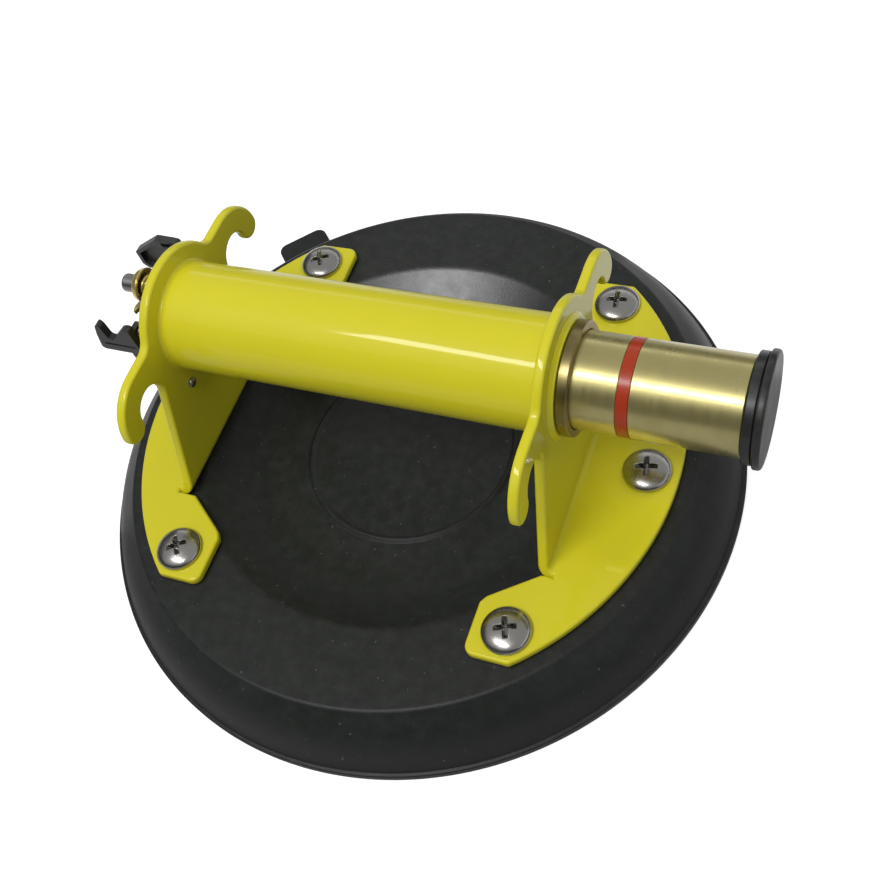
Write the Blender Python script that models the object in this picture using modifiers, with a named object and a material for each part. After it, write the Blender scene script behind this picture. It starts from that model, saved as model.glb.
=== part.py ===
"""Suction cup lifter: a round rubber pad, two bent sheet brackets and a pump inside the handle.

Blender 4.5, metres, +Z up. The pad stands on z = 0 and the handle runs along X, with the pump's
plunger at +X and the release lever at -X. X values below are counted from the pad's centre, which
lies PAD_X from the frame's origin, so that the origin is the middle of the whole object.
"""

import math

import bmesh
import bpy
from mathutils import Matrix, Vector

# Clearances
SEAT = 0.0003  # between two pieces that touch
SNUG = 0.00015  # radial, between a ring and its groove, or a pin and its hole
GLIDE = 0.00023  # radial, between a sliding piece and its guide

# Pad
PAD_RADIUS = 0.127
RIM_HEIGHT = 0.0036
LIP_WIDTH = 0.009
CAVITY_DEPTH = 0.0065
SKIRT_WIDTH = 0.018  # from the ring's outer edge to the pad's edge
RING_WIDTH = 0.026
RING_TOP = 0.025
DISH_TOP = 0.0135
DISH_SLOPE = math.radians(28)
DISH_EASE = 0.040  # radius from the slope into the flat
RING_EASE = 0.006  # radius from the ring into the slope
RIDGE_SHARE = 0.494  # of the ring's inner radius
RIDGE_HEIGHT = 0.0009
TAB_ANGLE = math.radians(134)
TAB_REACH = 0.0135
TAB_WIDTH = 0.023
TAB_LOW = 0.0025
TAB_THICK = 0.0038

# Steel ring inside the pad
PLATE_THICK = 0.008
PLATE_COVER = 0.0047  # rubber above it
PLATE_COVER_OUT = 0.0045  # rubber around it
PLATE_COVER_IN = 0.002

# Brackets
SHEET = 0.0037
BEND_RADIUS = 0.0022
LEFT_WEB_INSET = 0.011  # from the ring's inner edge to the web's inner face
RIGHT_WEB_INSET = 0.0146
FLANGE_INSET = 0.0027  # from the ring's outer edge
EAR_ANGLE = math.radians(49.64)
EAR_LENGTH = 0.0205
EAR_MARGIN = 0.0127  # from the screw's middle to the ear's inner edge
EAR_CORNER = 0.0039
EAR_RELIEF = 0.0016  # from the right web's inner face
KERF = 0.0012
EDGE_ROUND = 0.0006

# Webs and their hooks, as (y, z)
HANDLE_Z = 0.081
WEB_LEAN = math.radians(20.7)
CROWN_WIDTH = 0.00695  # of the web above the handle tube
CROWN_FILLET = 0.006
HOOK_Y = 0.0362
HOOK_DROP = 0.005  # below the handle's axis
HOOK_RADIUS = 0.0172
HOOK_GAP = 0.0073
TIP_RISE = 0.0011

# Pad screws
SCREW_ANGLE = math.radians(47.2)
SCREW_SHIFT = 0.0009  # side screws outwards from the plate's middle
HEAD_RADIUS = 0.0088
HEAD_HEIGHT = 0.0041
SHANK_RADIUS = 0.004
RECESS_WIDTH = 0.0019
RECESS_REACH = 0.0042
RECESS_DEPTH = 0.0022

# Handle tube and pump
HANDLE_RADIUS = 0.0198
HANDLE_WALL = 0.0015
WELD_LEG = 0.003
COLLAR_LENGTH = 0.0017
COLLAR_RISE = 0.0022
BARREL_WALL = 0.001
NECK_LENGTH = 0.008
MOUTH_LENGTH = 0.0035
BARREL_SPARE = 0.0218  # behind the piston at the end of its stroke
PLUNGER_INSET = 0.00363  # from the handle tube's surface
PLUNGER_WALL = 0.0013
PLUNGER_OUT = 0.0532  # beyond the mouth, at rest
STROKE = 0.050
BAND_OUT = 0.0147  # beyond the mouth, at rest
BAND_WIDTH = 0.0039
BAND_DEPTH = 0.0006
CAP_RING_INSET = 0.002  # from the handle tube's surface
CAP_RING_LENGTH = 0.003
CAP_DISC_INSET = 0.001
CAP_LENGTH = 0.0060
CAP_PLUG = 0.009
PISTON_HEAD = 0.010
PISTON_PLUG = 0.006
SEAL_WIDTH = 0.003
SEAL_DEPTH = 0.002
SEAT_THICK = 0.005
FLAP_RADIUS = 0.0062
SPRING_INSET = 0.00397  # from the plunger's surface
SPRING_WIRE = 0.0008
SPRING_TURNS = 8

# Valve and lever
PLUG_LENGTH = 0.0095
VALVE_Y = 0.0018
VALVE_INSET = 0.0068  # from the handle tube's bore
VALVE_RADIUS = 0.004
VALVE_HEX = 0.0060
VALVE_HEX_LENGTH = 0.0035
VALVE_RIBS = 3
RIB_PITCH = 0.0024
RIB_DEPTH = 0.0006
VALVE_BORE = 0.0019
WASHER_RADIUS = 0.0062
WASHER_THICK = 0.0014
STEM_RADIUS = 0.0013
STEM_HEAD = 0.0034
STEM_HEAD_LENGTH = 0.0060
LEVER_SCREW_ANGLE = math.radians(47.85)  # below the level of the handle's axis
LEVER_SCREW_OUT = 0.00583  # from the handle tube's surface
LEVER_SCREW_HEAD = 0.0024
LEVER_SCREW_RADIUS = 0.0015
MOUNT_THICK = 0.0027
MOUNT_DROP = 0.001  # from the handle's axis to its top
MOUNT_BELOW = 0.005  # from its screws to its lower edge
MOUNT_BESIDE = 0.0033  # from its screws to its side edges
LUG_THICK = 0.0025
LUG_HEIGHT = 0.017  # from the low lug's underside to the mount's top
LUG_RADIUS = 0.005
HINGE_REACH = 0.0113  # from the web's outer face to the pin
PIN_RADIUS = 0.002
KNUCKLE_RADIUS = 0.0042
YOKE_THICK = 0.0022
YOKE_HALF = 0.0215
YOKE_RISE = 0.0035  # the back arm's top above the valve's axis
YOKE_SLOT = 0.0085
FRONT_ARM_DROP = 0.0025  # the front arm's top below the valve's axis
FRONT_ARM_SLOT = 0.012
SPRING_COIL_RADIUS = 0.0026
SPRING_COIL_WIRE = 0.0004
SPRING_COIL_DROP = 0.0027  # below the arm's top
WING_WALL = 0.003
WING_ROOT = 0.0048  # from the web's outer face
FRONT_WING_REACH = 0.0225
FRONT_WING_DROP = 0.010  # its foot below the valve's axis
FRONT_WING_HEIGHT = 0.0144
BACK_WING_REACH = 0.0268
BACK_WING_DROP = 0.0122
BACK_WING_HEIGHT = 0.0172
POCKET_DEPTH = 0.0018
POCKET_SHARE = 0.76

# Pipe from the valve chamber to the pad
PIPE_INSET = 0.016  # from the left web's inner face
PIPE_Y = 0.026
PIPE_RADIUS = 0.0035
PIPE_WALL = 0.001
PIPE_DROP = 0.0042  # from the handle tube's underside to the first bend
PIPE_RISE = 0.0205  # from the dish to the second bend
PORT_RADIUS = 0.005
PORT_FLANGE = 0.008
PORT_FLANGE_THICK = 0.002
PORT_HEIGHT = 0.0105
FILTER_LENGTH = 0.004

# Facets
ROUND_PAD = 56
ROUND_HANDLE = 28
ROUND_HEAD = 16
ROUND_SMALL = 12
ROUND_WIRE = 5

# Values that follow from those above
LIP_INNER = PAD_RADIUS - LIP_WIDTH
RING_OUTER = PAD_RADIUS - SKIRT_WIDTH
RING_INNER = RING_OUTER - RING_WIDTH
RIDGE_RADIUS = RING_INNER * RIDGE_SHARE
PLATE_OUTER = RING_OUTER - PLATE_COVER_OUT
PLATE_INNER = RING_INNER + PLATE_COVER_IN
PLATE_HIGH = RING_TOP - PLATE_COVER
PLATE_LOW = PLATE_HIGH - PLATE_THICK
SCREW_END = (PLATE_OUTER + PLATE_INNER) / 2
SCREW_CIRCLE = SCREW_END + SCREW_SHIFT
LEFT_WEB = LEFT_WEB_INSET - RING_INNER  # inner faces
RIGHT_WEB = RING_INNER - RIGHT_WEB_INSET
LEFT_OUTER = LEFT_WEB - SHEET
RIGHT_OUTER = RIGHT_WEB + SHEET
FLANGE_LOW = RING_TOP + SEAT
FLANGE_HIGH = FLANGE_LOW + SHEET
FLANGE_RADIUS = RING_OUTER - FLANGE_INSET
EAR_END = FLANGE_RADIUS * math.sin(EAR_ANGLE)
EAR_SHOULDER = EAR_END - EAR_LENGTH
EAR_INNER = SCREW_CIRCLE * math.cos(SCREW_ANGLE) - EAR_MARGIN
EAR_ROOT = RIGHT_WEB + EAR_RELIEF
HOOK_Z = HANDLE_Z - HOOK_DROP
CROWN_RADIUS = HANDLE_RADIUS + CROWN_WIDTH
HANDLE_BORE = HANDLE_RADIUS - HANDLE_WALL
HANDLE_END = RIGHT_OUTER + COLLAR_LENGTH
BARREL_RADIUS = HANDLE_BORE - SEAT
BARREL_BORE = BARREL_RADIUS - BARREL_WALL
PLUNGER_RADIUS = HANDLE_RADIUS - PLUNGER_INSET
CAP_RING_RADIUS = HANDLE_RADIUS - CAP_RING_INSET
CAP_DISC_RADIUS = HANDLE_RADIUS - CAP_DISC_INSET
SPRING_RADIUS = PLUNGER_RADIUS - SPRING_INSET
MOUTH_RADIUS = HANDLE_BORE
NECK_BORE = PLUNGER_RADIUS + GLIDE
MOUTH_START = HANDLE_END + SEAT
MOUTH_END = MOUTH_START + MOUTH_LENGTH
NECK_START = MOUTH_START - NECK_LENGTH
PLUNGER_BORE = PLUNGER_RADIUS - PLUNGER_WALL
PLUNGER_END = MOUTH_END + PLUNGER_OUT
BAND_START = MOUTH_END + BAND_OUT
PISTON_FRONT = NECK_START - SEAT
PISTON_BACK = PISTON_FRONT - PISTON_HEAD
BARREL_INNER_END = PISTON_BACK - STROKE - BARREL_SPARE
SEAT_END = BARREL_INNER_END + SEAT_THICK
PAD_X = -(PLUNGER_END + CAP_LENGTH - PAD_RADIUS) / 2
HINGE_X = LEFT_OUTER - HINGE_REACH
MOUNT_FACE = LEFT_OUTER - SEAT - MOUNT_THICK
MOUNT_HIGH = HANDLE_Z - MOUNT_DROP
LUG_LOW = MOUNT_HIGH - LUG_HEIGHT
LEVER_SCREW_Y = (HANDLE_RADIUS + LEVER_SCREW_OUT) * math.cos(LEVER_SCREW_ANGLE)
LEVER_SCREW_Z = HANDLE_Z - (HANDLE_RADIUS + LEVER_SCREW_OUT) * math.sin(LEVER_SCREW_ANGLE)
MOUNT_LOW = LEVER_SCREW_Z - MOUNT_BELOW
MOUNT_HALF = LEVER_SCREW_Y + MOUNT_BESIDE
VALVE_Z = HANDLE_Z + HANDLE_BORE - VALVE_INSET
VALVE_END = LEFT_OUTER - SEAT - VALVE_HEX_LENGTH - VALVE_RIBS * RIB_PITCH - 0.001
YOKE_TOP = VALVE_Z + YOKE_RISE
FRONT_ARM_TOP = VALVE_Z - FRONT_ARM_DROP
PIPE_X = LEFT_WEB + PIPE_INSET
PIPE_BEND_HIGH = HANDLE_Z - HANDLE_RADIUS - PIPE_DROP
PIPE_BEND_LOW = DISH_TOP + PIPE_RISE
PORT_HIGH = DISH_TOP + SEAT + PORT_HEIGHT


def at(x, y, z):
    """A place counted from the pad's centre, in the frame."""
    return Vector((PAD_X + x, y, z))


def collection(name):
    made = bpy.data.collections.new(name)
    bpy.context.scene.collection.children.link(made)
    return made


def added(name, mesh, place=(0.0, 0.0, 0.0), home=None):
    obj = bpy.data.objects.new(name, mesh)
    obj.location = at(*place)
    (home or PARTS).objects.link(obj)
    return obj


def as_cutter(obj):
    """Moves a helper into the cutters' collection, where it isn't rendered."""
    for home in list(obj.users_collection):
        home.objects.unlink(obj)
    CUTTERS.objects.link(obj)
    obj.hide_render = True
    obj.display_type = "WIRE"
    return obj


def boolean(obj, other, operation="DIFFERENCE"):
    step = obj.modifiers.new(f"{operation.title()} {other.name}", "BOOLEAN")
    step.operation = operation
    step.solver = "EXACT"
    step.object = other
    return obj


def rounded(obj, width, segments=1, angle=50):
    step = obj.modifiers.new("Edges", "BEVEL")
    step.width = width
    step.segments = segments
    step.limit_method = "ANGLE"
    step.angle_limit = math.radians(angle)
    return obj


def arc(centre, radius, start, end, steps):
    """Points on an arc, angles in degrees, both ends included."""
    points = []
    for i in range(steps + 1):
        angle = math.radians(start + (end - start) * i / steps)
        points.append((centre[0] + radius * math.cos(angle), centre[1] + radius * math.sin(angle)))
    return points


def revolved(name, profile, segments, place=(0.0, 0.0, 0.0), along="Z"):
    """Spins a profile of (radius, height) about its axis. A profile off the axis is closed."""
    count = len(profile)
    edges = [(i, i + 1) for i in range(count - 1)]
    if profile[0][0] > 0 or profile[-1][0] > 0:
        edges.append((count - 1, 0))
    mesh = bpy.data.meshes.new(name)
    mesh.from_pydata([(radius, 0.0, height) for radius, height in profile], edges, [])
    obj = added(name, mesh, place)
    if along == "X":
        obj.rotation_euler = (0.0, math.pi / 2, 0.0)
    spin = obj.modifiers.new("Spin", "SCREW")
    spin.angle = 2 * math.pi
    spin.steps = segments
    spin.render_steps = segments
    spin.use_merge_vertices = True
    spin.merge_threshold = 0.00001
    spin.use_normal_flip = True
    return obj


def block_profile(inner, outer, low, high):
    return [(inner, low), (outer, low), (outer, high), (inner, high)]


def cylinder(name, radius, low, high, segments, place=(0.0, 0.0, 0.0), along="Z"):
    return revolved(name, [(0, low), (radius, low), (radius, high), (0, high)], segments, place, along)


def prism(name, outline, normal, low, high, place=(0.0, 0.0, 0.0)):
    """Extrudes a flat outline: (y, z) along X, (x, z) along Y or (x, y) along Z."""
    turn = {
        "X": lambda u, v, w: (w, u, v),
        "Y": lambda u, v, w: (u, w, v),
        "Z": lambda u, v, w: (u, v, w),
    }[normal]
    bm = bmesh.new()
    face = bm.faces.new([bm.verts.new(turn(u, v, low)) for u, v in outline])
    grown = bmesh.ops.extrude_face_region(bm, geom=[face])["geom"]
    moved = [item for item in grown if isinstance(item, bmesh.types.BMVert)]
    bmesh.ops.translate(bm, verts=moved, vec=Vector(turn(0, 0, high - low)))
    bmesh.ops.recalc_face_normals(bm, faces=bm.faces)
    mesh = bpy.data.meshes.new(name)
    bm.to_mesh(mesh)
    bm.free()
    return added(name, mesh, place)


def swept(name, path, side, outer, inner, sides, place=(0.0, 0.0, 0.0)):
    """Sweeps a circle along a path. side gives a vector across the path at each point.

    With inner None the wire is solid, and otherwise it is a pipe with that bore.
    """
    bm = bmesh.new()
    walls = [outer] if inner is None else [outer, inner]
    loops = {radius: [] for radius in walls}
    for i, point in enumerate(path):
        before, after = path[max(i - 1, 0)], path[min(i + 1, len(path) - 1)]
        along = (after - before).normalized()
        across = (side[i] - along * side[i].dot(along)).normalized()
        third = along.cross(across)
        legs = [(after - point), (point - before)]
        spread = 1.0
        if all(leg.length > 0 for leg in legs):
            half = legs[0].angle(legs[1]) / 2
            spread = 1 / math.cos(half)
        for radius in walls:
            ring = []
            for j in range(sides):
                angle = 2 * math.pi * j / sides
                offset = across * math.cos(angle) + third * math.sin(angle) * spread
                ring.append(bm.verts.new(point + offset * radius))
            loops[radius].append(ring)
    for rings in loops.values():
        for one, two in zip(rings, rings[1:]):
            for j in range(sides):
                k = (j + 1) % sides
                bm.faces.new((one[j], one[k], two[k], two[j]))
    for end in (0, -1):
        if inner is None:
            bm.faces.new(loops[outer][end])
            continue
        big, small = loops[outer][end], loops[inner][end]
        for j in range(sides):
            k = (j + 1) % sides
            bm.faces.new((big[j], big[k], small[k], small[j]))
    bmesh.ops.recalc_face_normals(bm, faces=bm.faces)
    mesh = bpy.data.meshes.new(name)
    bm.to_mesh(mesh)
    bm.free()
    return added(name, mesh, place)


def coil(name, radius, wire, turns, low, high, place, steps=8):
    """A spring along +X from low to high, with its ends flat enough to seat."""
    count = turns * steps
    path, side = [], []
    for i in range(count + 1):
        angle = 2 * math.pi * i / steps
        share = i / count
        rise = (1 - math.cos(math.pi * share)) / 2 * 0.35 + share * 0.65
        out = Vector((0.0, math.cos(angle), math.sin(angle)))
        path.append(out * radius + Vector((low + wire + (high - low - 2 * wire) * rise, 0, 0)))
        side.append(out)
    return swept(name, path, side, wire, None, ROUND_WIRE, place)


def painted(obj, color, metallic, roughness):
    material = bpy.data.materials.new(obj.name)
    material.use_nodes = True
    surface = material.node_tree.nodes["Principled BSDF"]
    surface.inputs["Base Color"].default_value = (*color, 1.0)
    surface.inputs["Metallic"].default_value = metallic
    surface.inputs["Roughness"].default_value = roughness
    obj.data.materials.clear()
    obj.data.materials.append(material)
    return obj


def screw_places():
    """The six pad screws, as (x, y)."""
    x, y = SCREW_CIRCLE * math.cos(SCREW_ANGLE), SCREW_CIRCLE * math.sin(SCREW_ANGLE)
    return [(-x, -y), (x, -y), (x, y), (-x, y), (SCREW_END, 0.0), (-SCREW_END, 0.0)]


def drills(name, radius, low, high):
    """One cutter that holds a cylinder at each pad screw."""
    bm = bmesh.new()
    for x, y in screw_places():
        middle = Matrix.Translation(Vector((x, y, (low + high) / 2)))
        bmesh.ops.create_cone(
            bm, cap_ends=True, segments=ROUND_HEAD, radius1=radius, radius2=radius,
            depth=high - low, matrix=middle,
        )
    mesh = bpy.data.meshes.new(name)
    bm.to_mesh(mesh)
    bm.free()
    return as_cutter(added(name, mesh))


def pad_profile():
    """The pad's section as (radius, height), from the cavity's middle out and back over the top."""
    edge = PAD_RADIUS
    under = [
        (0, CAVITY_DEPTH), (LIP_INNER - 0.012, CAVITY_DEPTH), (LIP_INNER - 0.003, CAVITY_DEPTH * 0.6),
        (LIP_INNER, 0),
    ]
    rim = [
        (edge - 0.0008, 0), (edge, 0.0008), (edge, RIM_HEIGHT - 0.0004),
        (edge - 0.0010, RIM_HEIGHT + 0.0004),
    ]
    ring = [
        (RING_OUTER + 0.0006, RING_TOP - 0.0006), (RING_OUTER - 0.0004, RING_TOP),
        (RING_INNER, RING_TOP),
    ]
    ridge = [
        (RIDGE_RADIUS + 0.0016, DISH_TOP), (RIDGE_RADIUS, DISH_TOP + RIDGE_HEIGHT),
        (RIDGE_RADIUS - 0.0016, DISH_TOP),
    ]
    return under + rim + ring + dish_wall() + ridge + [(0, DISH_TOP)]


def dish_wall():
    """The slope from the ring down into the dish, eased at both ends."""
    slope = math.degrees(DISH_SLOPE)
    top = arc((RING_INNER, RING_TOP - RING_EASE), RING_EASE, 90, 90 + slope, 2)
    radius, height = top[-1]
    fall = height - DISH_TOP - DISH_EASE * (1 - math.cos(DISH_SLOPE))
    start = radius - fall / math.tan(DISH_SLOPE)
    flat = start - DISH_EASE * math.sin(DISH_SLOPE)
    return top[1:] + arc((flat, DISH_TOP + DISH_EASE), DISH_EASE, slope - 90, -90, 4)


def tab_outline():
    """The release tab as (x, y), turned to its place on the rim."""
    half, corner = TAB_WIDTH / 2, 0.004
    far, near = PAD_RADIUS + TAB_REACH, PAD_RADIUS - 0.006
    points = [(near, -half)] + arc((far - corner, corner - half), corner, -90, 0, 4)
    points += arc((far - corner, half - corner), corner, 0, 90, 4) + [(near, half)]
    cos, sin = math.cos(TAB_ANGLE), math.sin(TAB_ANGLE)
    return [(x * cos - y * sin, x * sin + y * cos) for x, y in points]


def make_pad():
    pad = revolved("rubber_pad", pad_profile(), ROUND_PAD)
    tab = prism("pad_tab", tab_outline(), "Z", TAB_LOW, TAB_LOW + TAB_THICK)
    boolean(pad, as_cutter(rounded(tab, 0.0008)), "UNION")
    pocket = block_profile(
        PLATE_INNER - SEAT, PLATE_OUTER + SEAT, PLATE_LOW - SEAT, PLATE_HIGH + SEAT
    )
    boolean(pad, as_cutter(revolved("plate_pocket", pocket, ROUND_PAD)))
    boolean(pad, drills("pad_screw_holes", SHANK_RADIUS + SEAT, PLATE_HIGH - 0.002, RING_TOP + 0.002))
    port = cylinder(
        "port_hole", PORT_RADIUS + SEAT, CAVITY_DEPTH - 0.002, DISH_TOP + 0.002, ROUND_SMALL,
        (PIPE_X, PIPE_Y, 0.0),
    )
    boolean(pad, as_cutter(port))
    spot = cylinder(
        "port_seat", PORT_FLANGE + SEAT, DISH_TOP, RING_TOP, ROUND_HEAD, (PIPE_X, PIPE_Y, 0.0)
    )
    boolean(pad, as_cutter(spot))
    painted(pad, (0.018, 0.020, 0.019), 0.0, 0.55)
    steel = revolved(
        "backing_plate", block_profile(PLATE_INNER, PLATE_OUTER, PLATE_LOW, PLATE_HIGH), ROUND_PAD
    )
    boolean(steel, drills("plate_holes", SHANK_RADIUS + SNUG, PLATE_LOW - 0.001, PLATE_HIGH + 0.001))
    painted(steel, (0.55, 0.56, 0.58), 1.0, 0.4)


def web_outline():
    """A web's outline as (y, z): straight leaning sides, an open hook each side and a round crown."""
    cos, sin = math.cos(WEB_LEAN), math.sin(WEB_LEAN)
    touch = (HOOK_Y - HOOK_GAP * cos, HOOK_Z - HOOK_GAP * sin)
    foot = touch[0] + touch[1] * math.tan(WEB_LEAN)
    rise_in = math.degrees(math.asin(TIP_RISE / HOOK_GAP))
    rise_out = math.degrees(math.asin(TIP_RISE / HOOK_RADIUS))
    gap = arc((HOOK_Y, HOOK_Z), HOOK_GAP, 180 + math.degrees(WEB_LEAN), rise_in, 8)
    hook = arc((HOOK_Y, HOOK_Z), HOOK_RADIUS, rise_out, 90, 6)
    tip_radius = (hook[0][0] - gap[-1][0]) / 2
    tip = arc((gap[-1][0] + tip_radius, HOOK_Z + TIP_RISE), tip_radius, 180, 360, 7)
    top = HOOK_Z + HOOK_RADIUS
    reach = CROWN_RADIUS + CROWN_FILLET
    lift = top + CROWN_FILLET - HANDLE_Z
    across = math.sqrt(reach**2 - lift**2)
    meet = math.degrees(math.atan2(lift, across))
    fillet = arc((across, top + CROWN_FILLET), CROWN_FILLET, -90, meet - 180, 3)
    crown = arc((0.0, HANDLE_Z), CROWN_RADIUS, meet, 90, 5)
    half = [(foot, 0.0)] + gap + tip[1:-1] + hook + fillet + crown[1:]
    return half + [(-y, z) for y, z in reversed(half[:-1])]


def web_foot():
    """Half the web's width where it meets the flange."""
    outline = web_outline()
    (wide, low), (narrow, high) = outline[0], outline[1]
    return wide + (narrow - wide) * (FLANGE_LOW - low) / (high - low)


def bend_section(inner):
    """The bent sheet's section as (distance from the pad's centre, z), from web to flange."""
    flat = inner + SHEET + BEND_RADIUS
    centre = (flat, FLANGE_HIGH + BEND_RADIUS)
    top = HANDLE_Z + CROWN_RADIUS + 0.01
    outside = arc(centre, BEND_RADIUS + SHEET, 180, 270, 4)
    inside = arc(centre, BEND_RADIUS, 270, 180, 4)
    tail = [(flat + 0.004, FLANGE_LOW), (flat + 0.004, FLANGE_HIGH)]
    return [(inner, top)] + outside + tail + inside + [(inner + SHEET, top)]


def flange_outline(inner):
    """The flange's outline as (distance from the pad's centre, y), ears included."""
    flat = inner + SHEET + BEND_RADIUS
    relief = web_foot() + KERF
    ear = [(flat, relief), (EAR_ROOT, relief), (EAR_INNER + 0.0015, EAR_SHOULDER - 0.0012)]
    ear += [(EAR_INNER + 0.0003, EAR_SHOULDER), (EAR_INNER, EAR_SHOULDER + 0.0014)]
    ear += arc((EAR_INNER + EAR_CORNER, EAR_END - EAR_CORNER), EAR_CORNER, 180, 90, 3)
    outer_x = math.sqrt(FLANGE_RADIUS**2 - EAR_END**2)
    ear.append((outer_x - 0.0015, EAR_END))
    start = math.degrees(math.atan2(EAR_END - 0.0014, outer_x + 0.0006))
    rim = arc((0.0, 0.0), FLANGE_RADIUS, start, 0, 9)
    half = ear + rim
    return half + [(x, -y) for x, y in reversed(half[:-1])]


def make_bracket(name, side, inner):
    """side is -1 for the lever's end and 1 for the plunger's end. inner is always positive."""
    flip = [(side * x, y) for x, y in flange_outline(inner)]
    bracket = prism(name, flip, "Z", FLANGE_LOW, FLANGE_HIGH)
    section = [(side * x, z) for x, z in bend_section(inner)]
    width = HOOK_Y + HOOK_RADIUS + 0.01
    web = as_cutter(prism(f"{name}_web", section, "Y", -width, width))
    span = sorted((side * (inner - 0.01), side * (inner + 0.03)))
    outline = as_cutter(prism(f"{name}_outline", web_outline(), "X", *span))
    boolean(web, outline, "INTERSECT")
    boolean(bracket, web, "UNION")
    rounded(bracket, EDGE_ROUND)
    boolean(bracket, drills(f"{name}_holes", SHANK_RADIUS + SEAT, FLANGE_LOW - 0.001, FLANGE_HIGH + 0.001))
    bore = cylinder(
        f"{name}_bore", HANDLE_RADIUS + SEAT, *span, ROUND_HANDLE, (0.0, 0.0, HANDLE_Z), "X"
    )
    boolean(bracket, as_cutter(bore))
    return painted(bracket, (0.67, 0.62, 0.028), 0.0, 0.3)


def make_brackets():
    left = make_bracket("left_bracket", -1, -LEFT_WEB)
    for y in (-LEVER_SCREW_Y, LEVER_SCREW_Y):
        hole = cylinder(
            f"lever_screw_hole{'_front' if y < 0 else '_back'}", LEVER_SCREW_RADIUS + SNUG,
            LEFT_OUTER - 0.001, LEFT_WEB + 0.001, ROUND_SMALL, (0.0, y, LEVER_SCREW_Z), "X",
        )
        boolean(left, as_cutter(hole))
    make_bracket("right_bracket", 1, RIGHT_WEB)


def make_screw(name, x, y):
    """A truss head screw that stands on the flange and ends flush with the plate's underside."""
    low, dome = PLATE_LOW + SEAT, []
    for i in range(3):
        angle = math.pi / 2 * i / 3
        dome.append((HEAD_RADIUS * math.cos(angle), 0.0007 + (HEAD_HEIGHT - 0.0007) * math.sin(angle)))
    head = FLANGE_HIGH + SEAT
    profile = [(0, low), (SHANK_RADIUS - 0.0008, low), (SHANK_RADIUS, low + 0.0008)]
    profile += [(SHANK_RADIUS, head), (HEAD_RADIUS, head)]
    profile += [(r, head + z) for r, z in dome] + [(0, head + HEAD_HEIGHT)]
    screw = revolved(name, profile, ROUND_HEAD, (x, y, 0.0))
    top = head + HEAD_HEIGHT
    w, r = RECESS_WIDTH / 2, RECESS_REACH
    cross = [(w, -r), (w, -w), (r, -w), (r, w), (w, w), (w, r)]
    cross += [(-a, -b) for a, b in cross]
    recess = prism(f"{name}_recess", cross, "Z", top - RECESS_DEPTH, top + 0.001, (x, y, 0.0))
    for vertex in recess.data.vertices:
        if vertex.co.z < top:
            vertex.co.x *= 0.6
            vertex.co.y *= 0.6
    boolean(screw, as_cutter(recess))
    painted(screw, (0.72, 0.72, 0.74), 1.0, 0.22)


def handle_piece(name, profile):
    return revolved(name, profile, ROUND_HANDLE, (0.0, 0.0, HANDLE_Z), "X")


def weld_profile(face, away):
    """A fillet in the corner between the handle tube and a web's face. away is the side it lies on."""
    near = face + away * SEAT
    low = HANDLE_RADIUS + SEAT
    points = [(low, near), (low + WELD_LEG, near), (low + WELD_LEG, near + away * 0.0004)]
    points += [
        (low + WELD_LEG * 0.42, near + away * WELD_LEG * 0.45),
        (low + 0.0004, near + away * WELD_LEG), (low, near + away * WELD_LEG),
    ]
    return points if away > 0 else points[::-1]


def make_handle():
    yellow = (0.67, 0.62, 0.028)
    tube = handle_piece(
        "handle_tube", block_profile(HANDLE_BORE, HANDLE_RADIUS, LEFT_OUTER, HANDLE_END)
    )
    hole = cylinder(
        "pipe_hole", PIPE_RADIUS + SEAT, HANDLE_Z - HANDLE_RADIUS - 0.003, HANDLE_Z - 0.01,
        ROUND_SMALL, (PIPE_X, 0.0, 0.0),
    )
    boolean(tube, as_cutter(hole))
    painted(tube, yellow, 0.0, 0.3)
    painted(handle_piece("weld_left", weld_profile(LEFT_WEB, 1)), yellow, 0.0, 0.3)
    painted(handle_piece("weld_right", weld_profile(RIGHT_WEB, -1)), yellow, 0.0, 0.3)
    low, high = HANDLE_RADIUS + SEAT, HANDLE_RADIUS + SEAT + COLLAR_RISE
    start = RIGHT_OUTER + SEAT
    collar = [
        (low, start), (high, start), (high, start + 0.0006),
        (high - 0.0007, start + 0.0012), (low + 0.0003, HANDLE_END), (low, HANDLE_END),
    ]
    painted(handle_piece("weld_collar", collar), yellow, 0.0, 0.3)


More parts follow.
